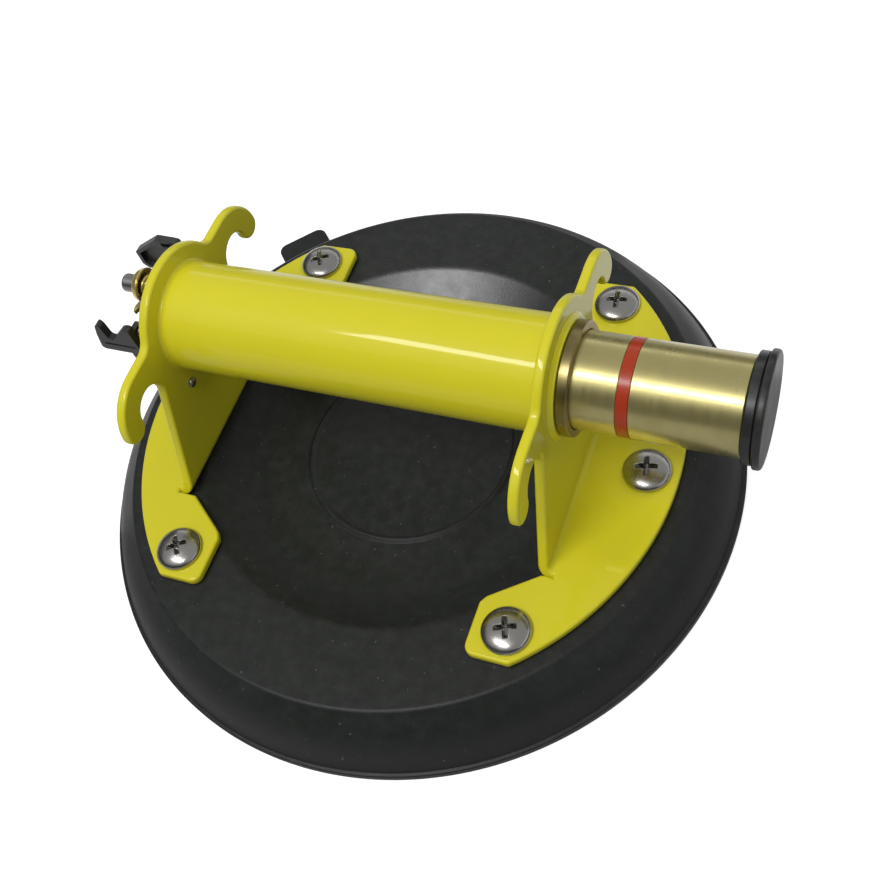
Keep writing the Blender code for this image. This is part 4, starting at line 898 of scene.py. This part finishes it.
# %% [markdown]
# ## Springs and threads
# A coil is a path that climbs as it turns, with a round wire swept along it. Geometry Nodes have a
# Spiral for the path and Curve to Mesh for the wire, so one tree with a few sizes makes the strong
# spring inside the pump, the two fine ones behind the lever and the thread on the valve.

# %% Build the coil tree
COIL, start, end = tree_for("Coil", {
    "Radius": "Float", "Wire": "Float", "Turns": "Float", "Length": "Float", "Place": "Vector",
    "Finish": "Material",
})
path = node(COIL, "GeometryNodeCurveSpiral", {
    "Resolution": 28, "Rotations": start.outputs["Turns"], "Start Radius": start.outputs["Radius"],
    "End Radius": start.outputs["Radius"], "Height": start.outputs["Length"],
})
wire = node(COIL, "GeometryNodeCurvePrimitiveCircle", {"Resolution": 9, "Radius": start.outputs["Wire"]})
wire = node(COIL, "GeometryNodeCurveToMesh", {
    "Curve": path.outputs[0], "Profile Curve": wire.outputs[0], "Fill Caps": True,
})
wire = node(COIL, "GeometryNodeTransform", {
    "Geometry": wire.outputs[0], "Rotation": (0.0, math.pi / 2, 0.0), "Translation": start.outputs["Place"],
})
wire = node(COIL, "GeometryNodeSetShadeSmooth", {"Geometry": wire.outputs[0]})
wire = node(COIL, "GeometryNodeRealizeInstances", {"Geometry": wire.outputs[0]})
wire = node(COIL, "GeometryNodeSetMaterial", {
    "Geometry": wire.outputs[0], "Material": start.outputs["Finish"],
})
COIL.links.new(wire.outputs[0], end.inputs[0])


def coil(name, radius, wire, turns, low, high, y, z, coat):
    """A coil along X between low and high. Its outside looks out whichever way the spiral ran."""
    values = {
        "Radius": radius, "Wire": wire, "Turns": float(turns), "Length": high - low - 2 * wire,
        "Place": (PAD_X + low + wire, y, z), "Finish": coat,
    }
    return outward(grown(name, COIL, values))


SPRING_LOW, SPRING_HIGH = -0.0107, 0.0555
spring = coil("pump_spring", 0.0122, 0.0008, 8, SPRING_LOW, SPRING_HIGH, 0.0, HANDLE_Z, ZINC)
placed(spring, ZINC, "frame", "zinc_steel", "plunger_spring")
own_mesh(spring)

# %% [markdown]
# ## The air valve
# A small brass valve stands in the end plug, above the tube's axis. It has a hexagon to tighten it, a
# few turns of thread, a bright cup washer with a bent tail, and a steel stem that the lever presses.
# The hexagon is raised and then trimmed by a turned shape, which is how a real one gets its chamfer.

# %% Build the valve's body
VALVE = (0.0, 0.0018, 0.0925)
FACE = LEFT_OUTER - GAP
VALVE_END = -0.0877
VALVE_BORE, THREAD_RADIUS, SEAT, NUT_RADIUS = 0.0019, 0.0037, 0.0040, 0.0060
VALVE_INSIDE = LEFT_OUTER + 0.0095
body = eased([
    (VALVE_BORE, VALVE_END, 0.0002), (THREAD_RADIUS, VALVE_END, 0.0004), (THREAD_RADIUS, FACE - 0.0034),
    (SEAT, FACE - 0.0030), (SEAT, VALVE_INSIDE, 0.0003), (VALVE_BORE, VALVE_INSIDE, 0.0002),
])
valve = lathe("valve", body, 40, VALVE, "X")
flats = [math.pi / 3 * k for k in range(6)]
flats = [(NUT_RADIUS * math.cos(t), NUT_RADIUS * math.sin(t)) for t in flats]
nut = raised("nut", flats, "X", FACE - 0.0035, FACE, VALVE)
chamfer = eased([
    (0, FACE - 0.0036), (0.0050, FACE - 0.0036), (0.0062, FACE - 0.0029), (0.0062, FACE - 0.0006),
    (0.0050, FACE + 0.0001), (0, FACE + 0.0001),
])
joined(nut, lathe("chamfer", chamfer, 48, VALVE, "X"), "INTERSECT")
smooth(joined(valve, nut, "UNION"), 30)
placed(valve, DULL_BRASS, "frame", "satin_brass", "valve_body")
thread = coil("valve_thread", THREAD_RADIUS, 0.00055, 4, VALVE_END + 0.0006, FACE - 0.0040, *VALVE[1:],
              GOLD_BRASS)
placed(thread, GOLD_BRASS, "frame", "satin_brass")

# %% Add the washer and the stem
CUP_BORE, CUP_RADIUS, CUP_RIM = 0.00145, 0.0065, 0.0014
TAIL_LOW, TAIL_HIGH = -0.0066, -0.0050
cup = VALVE_END - GAP
washer = eased([
    (CUP_BORE, cup - CUP_RIM, 0.0003), (0.0058, cup - CUP_RIM, 0.0010), (CUP_RADIUS, cup + 0.0008, 0.0004),
    (CUP_RADIUS, cup + CUP_RIM, 0.0003), (0.0054, cup + CUP_RIM, 0.0003), (0.0049, cup - 0.0008, 0.0006),
    (CUP_BORE, cup - 0.0008, 0.0002),
], 20)
washer = lathe("washer", washer, 48, VALVE, "X")
tail = eased([
    (cup - 0.0022, -0.0028), (cup - 0.0006, -0.0028), (cup - 0.0010, -0.0066, 0.0010),
    (cup - 0.0022, -0.0094, 0.0003), (cup - 0.0030, -0.0066, 0.0010),
], 20)
joined(washer, raised("tail", tail, "Z", TAIL_LOW, TAIL_HIGH, VALVE), "UNION")
placed(smooth(washer), GOLD_BRASS, "frame", "satin_brass", "valve_washer")
STEM, STEM_HEAD, STEM_INSIDE = 0.0013, 0.0034, LEFT_OUTER + 0.0115
HEAD_START = cup - 0.0017
HEAD_END = HEAD_START - 0.0060
stem = eased([
    (0, HEAD_END), (STEM_HEAD, HEAD_END, 0.0008), (STEM_HEAD, HEAD_START, 0.0004), (STEM, HEAD_START),
    (STEM, STEM_INSIDE, 0.0003), (0, STEM_INSIDE),
], 20, closed=False)
stem = lathe("stem", stem, 40, VALVE, "X")
placed(smooth(stem), ZINC, "frame", "zinc_steel", "valve_stem")

# %% [markdown]
# ## The lever and its mount
# The release lever is moulded plastic. Its yoke stands outside the left web and swings on an upright
# pin, and a wing on each side gives the thumb a place to push. Mouldings have thin walls and ribs, so
# two pockets are cut into the back wing and a shallow fold groove into the front one, before all edges
# are rounded.

# %% Build the lever's mount
HINGE = (-0.0870, 0.0, 0.0)
MOUNT_FACE = LEFT_OUTER - GAP - 0.0027
MOUNT_LOW, MOUNT_HIGH, MOUNT_HALF = 0.057, 0.080, 0.0205
LUG_RADIUS, LUG, LUG_LOW = 0.005, 0.0025, 0.063
PIN_HOLE, PIN_LOW, PIN_HIGH = 0.00215, 0.06, 0.085
MOUNT_SCREWS = (("front", -0.0172), ("back", 0.0172))
MOUNT_SCREW_Z, MOUNT_SCREW_HOLE = 0.062, 0.00165
plate = eased([
    (-MOUNT_HALF, MOUNT_LOW, 0.004), (MOUNT_HALF, MOUNT_LOW, 0.004),
    (MOUNT_HALF, MOUNT_HIGH, 0.0006), (-MOUNT_HALF, MOUNT_HIGH, 0.0006),
])
mount = raised("lever_mount", plate, "X", MOUNT_FACE, LEFT_OUTER - GAP)
root = MOUNT_FACE + 0.001
lug = [(root, -LUG_RADIUS)] + arc(HINGE, LUG_RADIUS, 270, 90, 20) + [(root, LUG_RADIUS)]
for low in (LUG_LOW, MOUNT_HIGH - LUG):
    joined(mount, raised("lug", lug, "Z", low, low + LUG), "UNION")
bevelled(mount, 0.0004, 40, 2)
joined(mount, rod("hole", PIN_HOLE, PIN_LOW, PIN_HIGH, 32, HINGE))
for _, y in MOUNT_SCREWS:
    joined(mount, rod("hole", MOUNT_SCREW_HOLE, -0.09, -0.07, 24, (0.0, y, MOUNT_SCREW_Z), "X"))
placed(smooth(mount), ZINC, "frame", "zinc_steel", "lever_bracket")

# %% Add its two screws and the pin
head = LEFT_WEB + GAP
profile = eased([
    (0, MOUNT_FACE + GAP), (0.0015, MOUNT_FACE + GAP), (0.0015, head), (0.0019, head, 0.0002),
    (0.0019, head + 0.0008, 0.0005), (0.0010, head + 0.0013, 0.001), (0, head + 0.0014),
], closed=False)
for side, y in MOUNT_SCREWS:
    mount_screw = lathe(f"mount_screw_{side}", profile, 32, (0.0, y, MOUNT_SCREW_Z), "X")
    placed(smooth(mount_screw), ZINC, "frame", "zinc_steel", f"lever_screw_{side}")
PIN, PIN_HEAD, PIN_FOOT = 0.002, 0.0035, 0.062
pin = eased([
    (0, PIN_FOOT), (PIN, PIN_FOOT, 0.0004), (PIN, MOUNT_HIGH + GAP), (PIN_HEAD, MOUNT_HIGH + GAP, 0.0002),
    (PIN_HEAD, MOUNT_HIGH + 0.0019, 0.0008), (0, MOUNT_HIGH + 0.0019),
], closed=False)
placed(smooth(lathe("hinge_pin", pin, 32, HINGE)), ZINC, "frame", "zinc_steel", "lever_pin")

# %% Mould the lever
LEVER_LOW, LEVER_HIGH = 0.0658, 0.0772
YOKE_HALF, YOKE_TOP, YOKE_SLOT = 0.0215, 0.096, 0.0085
ARM_TOP, ARM_SLOT = 0.090, 0.012
KNUCKLE, YOKE_WALL, WING_WALL = 0.0042, 0.0022, 0.003
YOKE_FACE = HINGE[0] + 0.0037
lever = rod("lever", KNUCKLE, LEVER_LOW, LEVER_HIGH, 40, HINGE)
yoke = [
    (-YOKE_HALF, LEVER_LOW), (YOKE_HALF, LEVER_LOW), (YOKE_HALF, YOKE_TOP), (YOKE_SLOT, YOKE_TOP),
    (YOKE_SLOT, LEVER_HIGH), (-ARM_SLOT, LEVER_HIGH), (-ARM_SLOT, ARM_TOP), (-YOKE_HALF, ARM_TOP),
]
yoke = eased([(y, z, 0.001) for y, z in yoke], 30)
joined(lever, raised("yoke", yoke, "X", YOKE_FACE - YOKE_WALL, YOKE_FACE), "UNION")
print("the yoke is", round(2000 * YOKE_HALF, 1), "mm wide")

# %% Add the wings
FRONT_WING = [(-0.0048, 0.0962), (-0.0048, 0.0825), (-0.0214, 0.0825), (-0.0225, 0.0835), (-0.0215, 0.0881),
              (-0.0208, 0.0911), (-0.0190, 0.0962), (-0.0179, 0.0969), (-0.0170, 0.0955), (-0.0166, 0.0896),
              (-0.0150, 0.0888), (-0.0132, 0.0906), (-0.0085, 0.0953), (-0.0070, 0.0960)]
BACK_WING = [(-0.0048, 0.0970), (-0.0048, 0.0803), (-0.0250, 0.0803), (-0.0268, 0.0824), (-0.0268, 0.0892),
             (-0.0143, 0.0975), (-0.0070, 0.0972)]
for outline, low in ((FRONT_WING, -YOKE_HALF), (BACK_WING, YOKE_HALF - WING_WALL)):
    rounded = eased([(LEFT_OUTER + x, z, 0.0009) for x, z in outline], 30)
    joined(lever, raised("wing", rounded, "Y", low, low + WING_WALL), "UNION")
print("the wings have", len(FRONT_WING), "and", len(BACK_WING), "corners")

# %% Cut its pockets, its groove and its bore
POCKET_SHARE = 0.78
for corners in ((0, 1, 5, 6), (1, 2, 3, 4, 5)):
    spots = [Vector(BACK_WING[k]) for k in corners]
    centre = sum(spots, Vector((0, 0))) / len(spots)
    spots = [centre + (spot - centre) * POCKET_SHARE for spot in spots]
    pocket = eased([(LEFT_OUTER + x, z, 0.0008) for x, z in spots], 30)
    joined(lever, raised("pocket", pocket, "Y", YOKE_HALF - 0.004, YOKE_HALF - 0.0011))
fold = [(-0.0196, 0.0858), (-0.0062, 0.0858), (-0.0062, 0.0869), (-0.0196, 0.0869)]
fold = [(LEFT_OUTER + x, z) for x, z in fold]
joined(lever, raised("fold", fold, "Y", -YOKE_HALF - OVER, -YOKE_HALF + 0.0008))
joined(lever, rod("bore", PIN_HOLE, PIN_LOW, PIN_HIGH, 32, HINGE))
print("the lever now has", len(lever.data.polygons), "faces")

# %% Round its edges
# Where three rounded edges meet, the bevel can leave slivers finer than a hair. Weld closes them.
SLIVER = 0.000016
bevelled(lever, 0.0003, 40, 2)
lever.modifiers.new("Close slivers", "WELD").merge_threshold = SLIVER
smooth(settled(lever), 40)
placed(lever, LEVER_PLASTIC, "lever", "black_plastic", "release_lever")

# %% Fit the lever's springs
# Each spring is held by the lever at one end and by the web at the other.
for side, y, z in (("front", -0.0150, 0.0873), ("back", 0.0135, 0.0913)):
    low, high = YOKE_FACE + GAP, LEFT_OUTER - GAP
    made = coil(f"return_spring_{side}", 0.0026, 0.0004, 4, low, high, y, z, BRASS)
    painted(made.data, BRASS)
    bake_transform(made)
    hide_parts(f"lever_spring_{side}")
    print(made.name, "has", len(made.data.polygons), "faces")

# %% [markdown]
# ## The suction line
# A thin brass pipe leads from the pump down to the port in the pad. It is bent, not turned, so its round
# section is swept along a path, outside and bore at once, and closed with a ring at each end.

# %% Bend the pipe
def swept(name, path, outer, inner, sides):
    """Sweeps a pipe along a path that stays in a plane across X."""
    points, faces = [], []
    for i, spot in enumerate(path):
        along = (path[min(i + 1, len(path) - 1)] - path[max(i - 1, 0)]).normalized()
        across = Vector((1.0, 0.0, 0.0))
        third = along.cross(across)
        for radius in (outer, inner):
            for j in range(sides):
                turn = 2 * math.pi * j / sides
                points.append(tuple(spot + (across * math.cos(turn) + third * math.sin(turn)) * radius))
    for i in range(len(path) - 1):
        for j in range(sides):
            k = (j + 1) % sides
            a, b = 2 * sides * i, 2 * sides * (i + 1)
            faces.append((a + j, b + j, b + k, a + k))
            faces.append((a + sides + j, a + sides + k, b + sides + k, b + sides + j))
    last = 2 * sides * (len(path) - 1)
    for j in range(sides):
        k = (j + 1) % sides
        faces.append((j, k, sides + k, sides + j))
        faces.append((last + j, last + sides + j, last + sides + k, last + k))
    return outward(piece(name, points, faces))


PIPE_RADIUS, PIPE_BORE, BEND = 0.0035, 0.0025, 0.009
bends = eased([
    (0.0, 0.0642), (0.0, 0.057, BEND), (PIPE_Y, 0.034, BEND), (PIPE_Y, 0.0183),
], 8, closed=False)
pipe = swept("air_pipe", [Vector((PIPE_X, y, z)) for y, z in bends], PIPE_RADIUS, PIPE_BORE, 32)
placed(smooth(pipe), BRASS, "frame", "satin_brass", "suction_pipe")

# %% Turn the port
BASE, UNDER = DISH_TOP + GAP, CAVITY_DEPTH + 0.0004
PORT_HIGH, PIPE_FOOT = BASE + 0.0105, 0.0180
FILTER_BORE, PIPE_HOLE, AIRWAY = 0.0038, 0.00365, 0.0016
SPIGOT, COLLAR_RADIUS, TOWER = 0.0050, 0.0080, 0.0057
port = eased([
    (FILTER_BORE, UNDER), (SPIGOT, UNDER, 0.0002), (SPIGOT, BASE), (COLLAR_RADIUS, BASE, 0.0003),
    (COLLAR_RADIUS, BASE + 0.0020, 0.0005), (TOWER, BASE + 0.0020, 0.0008), (TOWER, PORT_HIGH, 0.0006),
    (PIPE_HOLE, PORT_HIGH, 0.0003), (PIPE_HOLE, PIPE_FOOT), (AIRWAY, PIPE_FOOT),
    (AIRWAY, UNDER + 0.0046), (FILTER_BORE, UNDER + 0.0046),
])
port = lathe("port", port, 48, (PIPE_X, PIPE_Y, 0.0))
placed(smooth(port), DULL_BRASS, "frame", "satin_brass", "pad_port")

# %% [markdown]
# ## Pieces inside
# The plate inside the rubber, the check valve, the piston and the plugs hardly show, so their packed
# meshes stay. They still get a proper finish, because the model is also seen in cuts and at its limits.

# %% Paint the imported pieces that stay
INSIDE = {
    "backing_plate": ZINC, "check_seat": DULL_BRASS, "check_flap": SEAL_RUBBER, "piston": DULL_BRASS,
    "piston_seal": SEAL_RUBBER, "end_plug": CAP_PLASTIC, "plug_seal": SEAL_RUBBER, "air_filter": FELT,
}
for name, coat in INSIDE.items():
    painted(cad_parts[name].data, coat)
print("painted", len(INSIDE), "packed pieces")

# %% [markdown]
# ## Camera
# The photograph was taken from above and a little to the front, close enough for the near side to look
# larger. The camera's place and turn were worked out from the pad's outline, the six screws and the
# ends of the tube.

# %% Place the camera
AZIMUTH, ELEVATION, ROLL = (math.radians(v) for v in (38.105, 55.095, -21.815))
FOCAL_LENGTH = 47.55
CAMERA_PLACE = (0.1704 + PAD_X, -0.1995, 0.3865)
level = math.cos(ELEVATION)
back = Vector((math.sin(AZIMUTH) * level, -math.cos(AZIMUTH) * level, math.sin(ELEVATION)))
right = Vector((math.cos(AZIMUTH), math.sin(AZIMUTH), 0.0))
up = back.cross(right)
tilted = right * math.cos(ROLL) + up * math.sin(ROLL)
upright = up * math.cos(ROLL) - right * math.sin(ROLL)
camera = added(bpy.data.objects.new("Camera", bpy.data.cameras.new("Camera")))
camera.data.lens = FOCAL_LENGTH
camera.data.clip_start, camera.data.clip_end = 0.01, 20
camera.rotation_mode = "QUATERNION"
camera.rotation_quaternion = Matrix((tilted, upright, back)).transposed().to_quaternion()
camera.location = CAMERA_PLACE
bpy.context.scene.camera = camera
print("the camera is", round(camera.location.length, 3), "m from the middle")

# %% [markdown]
# ## Light
# A narrow strip above and in front draws the long highlight on the tube. A broad box beside it and a
# third one behind give most of the light, but gloss doesn't see them, so they add no highlight of their
# own. The world adds a weak grey fill, and what the camera, metal and gloss see of it is white, as a
# paper backdrop would be.
#
# The bright patch on the far wall of the dish needs light that falls nowhere else. A small spot gives
# it: light linking lets it reach the pad alone, and only as gloss.

# %% Set the world
def seen_by_eye(tree):
    """1 for rays that come from the camera or from a mirror, and 0 for those that carry light."""
    rays = node(tree, "ShaderNodeLightPath")
    eye = maths(tree, "MAXIMUM", rays.outputs["Is Camera Ray"], rays.outputs["Is Transmission Ray"])
    return maths(tree, "MAXIMUM", eye, rays.outputs["Is Glossy Ray"])


world = bpy.data.worlds.new("Studio")
bpy.context.scene.world = world
world.use_nodes = True
tree = world.node_tree
tree.nodes.clear()
fill = node(tree, "ShaderNodeBackground", {"Color": (0.82, 0.83, 0.84, 1.0), "Strength": 0.38})
paper = node(tree, "ShaderNodeBackground", {"Color": (1.0, 1.0, 1.0, 1.0), "Strength": 1.0})
shown = node(tree, "ShaderNodeMixShader", {0: seen_by_eye(tree), 1: fill.outputs[0], 2: paper.outputs[0]})
node(tree, "ShaderNodeOutputWorld", {0: shown.outputs[0]})
print("the world gives", round(fill.inputs["Strength"].default_value, 2), "as light and 1.0 to the eye")

# %% Hang the soft boxes
OBJECT_MIDDLE = (0.0, 0.0, 0.05)


def lamp(name, kind, watts, place, aim):
    """A lamp that points from its place at its aim."""
    obj = added(bpy.data.objects.new(name, bpy.data.lights.new(name, kind)))
    obj.data.energy = watts
    obj.location = place
    obj.rotation_mode = "QUATERNION"
    obj.rotation_quaternion = (Vector(aim) - Vector(place)).to_track_quat("-Z", "Y")
    return obj


def soft_box(name, width, height, watts, place):
    """A rectangular lamp that points at the middle of the lifter."""
    obj = lamp(name, "AREA", watts, place, OBJECT_MIDDLE)
    obj.data.shape, obj.data.size, obj.data.size_y = "RECTANGLE", width, height
    return obj


soft_box("Strip", 0.76, 0.18, 4.9, (-0.20, -0.50, 1.20))
broad = soft_box("Broad", 1.00, 0.80, 6.4, (-0.15, -0.50, 1.25))
behind = soft_box("Behind", 1.00, 0.80, 3.2, (0.35, 1.00, 0.90))
broad.visible_glossy = behind.visible_glossy = False
print("the two boxes hang", [round(obj.location.z, 2) for obj in (broad, behind)], "m high")

# %% Add the spot for the dish
SHEEN_WATTS, SHEEN_CONE, SHEEN_SIZE = 72.0, math.radians(5.8), 0.02
sheen = lamp("Sheen", "SPOT", SHEEN_WATTS, (-0.34, -0.32, 1.20), (-0.025, 0.078, 0.02))
sheen.data.spot_size, sheen.data.spot_blend = SHEEN_CONE, 1.0
sheen.data.shadow_soft_size = SHEEN_SIZE
sheen.visible_diffuse = False
sheen.light_linking.receiver_collection = bpy.data.collections.new("Sheen on the pad")
sheen.light_linking.receiver_collection.objects.link(pad)

# %% [markdown]
# ## Cards
# In a white room paint looks washed out and metal looks flat, because both mirror the room. So dark
# cards stand on all four sides, a grey one hangs above and another lies on the floor. The gaps over the
# walls stay white and draw bright lines on the brass. Two bright sheets on the floor lighten the pad's
# skirt. Only reflections see these cards: they take no light away and cast no shadow.

# %% Make a card
BLACK, WHITE = (0.0, 0.0, 0.0, 1.0), (1.0, 1.0, 1.0, 1.0)


def sheet(name, corners):
    """One flat face."""
    mesh = bpy.data.meshes.new(name)
    mesh.from_pydata(corners, [], [(0, 1, 2, 3)])
    return added(bpy.data.objects.new(name, mesh))


def level_corners(x, y, z):
    """The corners of a level sheet between two x and two y values."""
    return [(x[0], y[0], z), (x[1], y[0], z), (x[1], y[1], z), (x[0], y[1], z)]


def card(name, corners, brightness):
    """A sheet that only reflections see, with a plain grey of its own."""
    obj = sheet(name, corners)
    made, tree, shader = finish(name, Specular_IOR_Level=0.0, Roughness=1.0, Base_Color=BLACK,
                                Emission_Color=WHITE, Emission_Strength=brightness)
    obj.data.materials.append(made)
    obj.visible_camera = obj.visible_diffuse = obj.visible_transmission = False
    obj.visible_shadow = obj.visible_volume_scatter = False


# %% Put up the cards
GREY, DARK, BRIGHT = 0.36, 0.05, 0.8
card("Ceiling card", level_corners((-4, 4), (-4, 3.7), 2.2), GREY)
card("Floor card", level_corners((-4, 4), (-4, 4), -0.0002), GREY)
card("Left sheet", level_corners((-0.6, -0.1), (-0.06, 0.5), -0.0001), BRIGHT)
card("Right sheet", level_corners((0.05, 0.6), (0.07, 0.6), -0.0001), BRIGHT)
WALLS = {
    "Front card": ((-3, -2), (3, -2), 1.7), "Back card": ((-3, 2.2), (3, 2.2), 0.9),
    "Left card": ((-2.5, -2), (-2.5, 2.2), 1.6), "Right card": ((2.5, -2), (2.5, 2.2), 0.9),
}
for name, (one, two, high) in WALLS.items():
    card(name, [(*one, 0.0), (*two, 0.0), (*two, high), (*one, high)], DARK)
print("put up", len(WALLS), "walls")

# %% [markdown]
# ## Floor
# The floor glows a little for the eye only, so it stays as white as the backdrop and still keeps the
# soft shadow. It gives off no light of its own, which leaves the undersides dark.

# %% Lay the floor
floor = sheet("Floor", level_corners((-4, 4), (-4, 4), -0.0004))
PAPER, tree, shader = finish("Paper", Base_Color=(0.42, 0.42, 0.42, 1.0), Roughness=0.9,
                             Specular_IOR_Level=0.1, Emission_Strength=1.0)
glow = mixed(tree, seen_by_eye(tree), (0.0, 0.0, 0.0), (0.80, 0.80, 0.80))
tree.links.new(glow, shader.inputs["Emission Color"])
floor.data.materials.append(PAPER)
bpy.context.scene.view_settings.view_transform = "Standard"
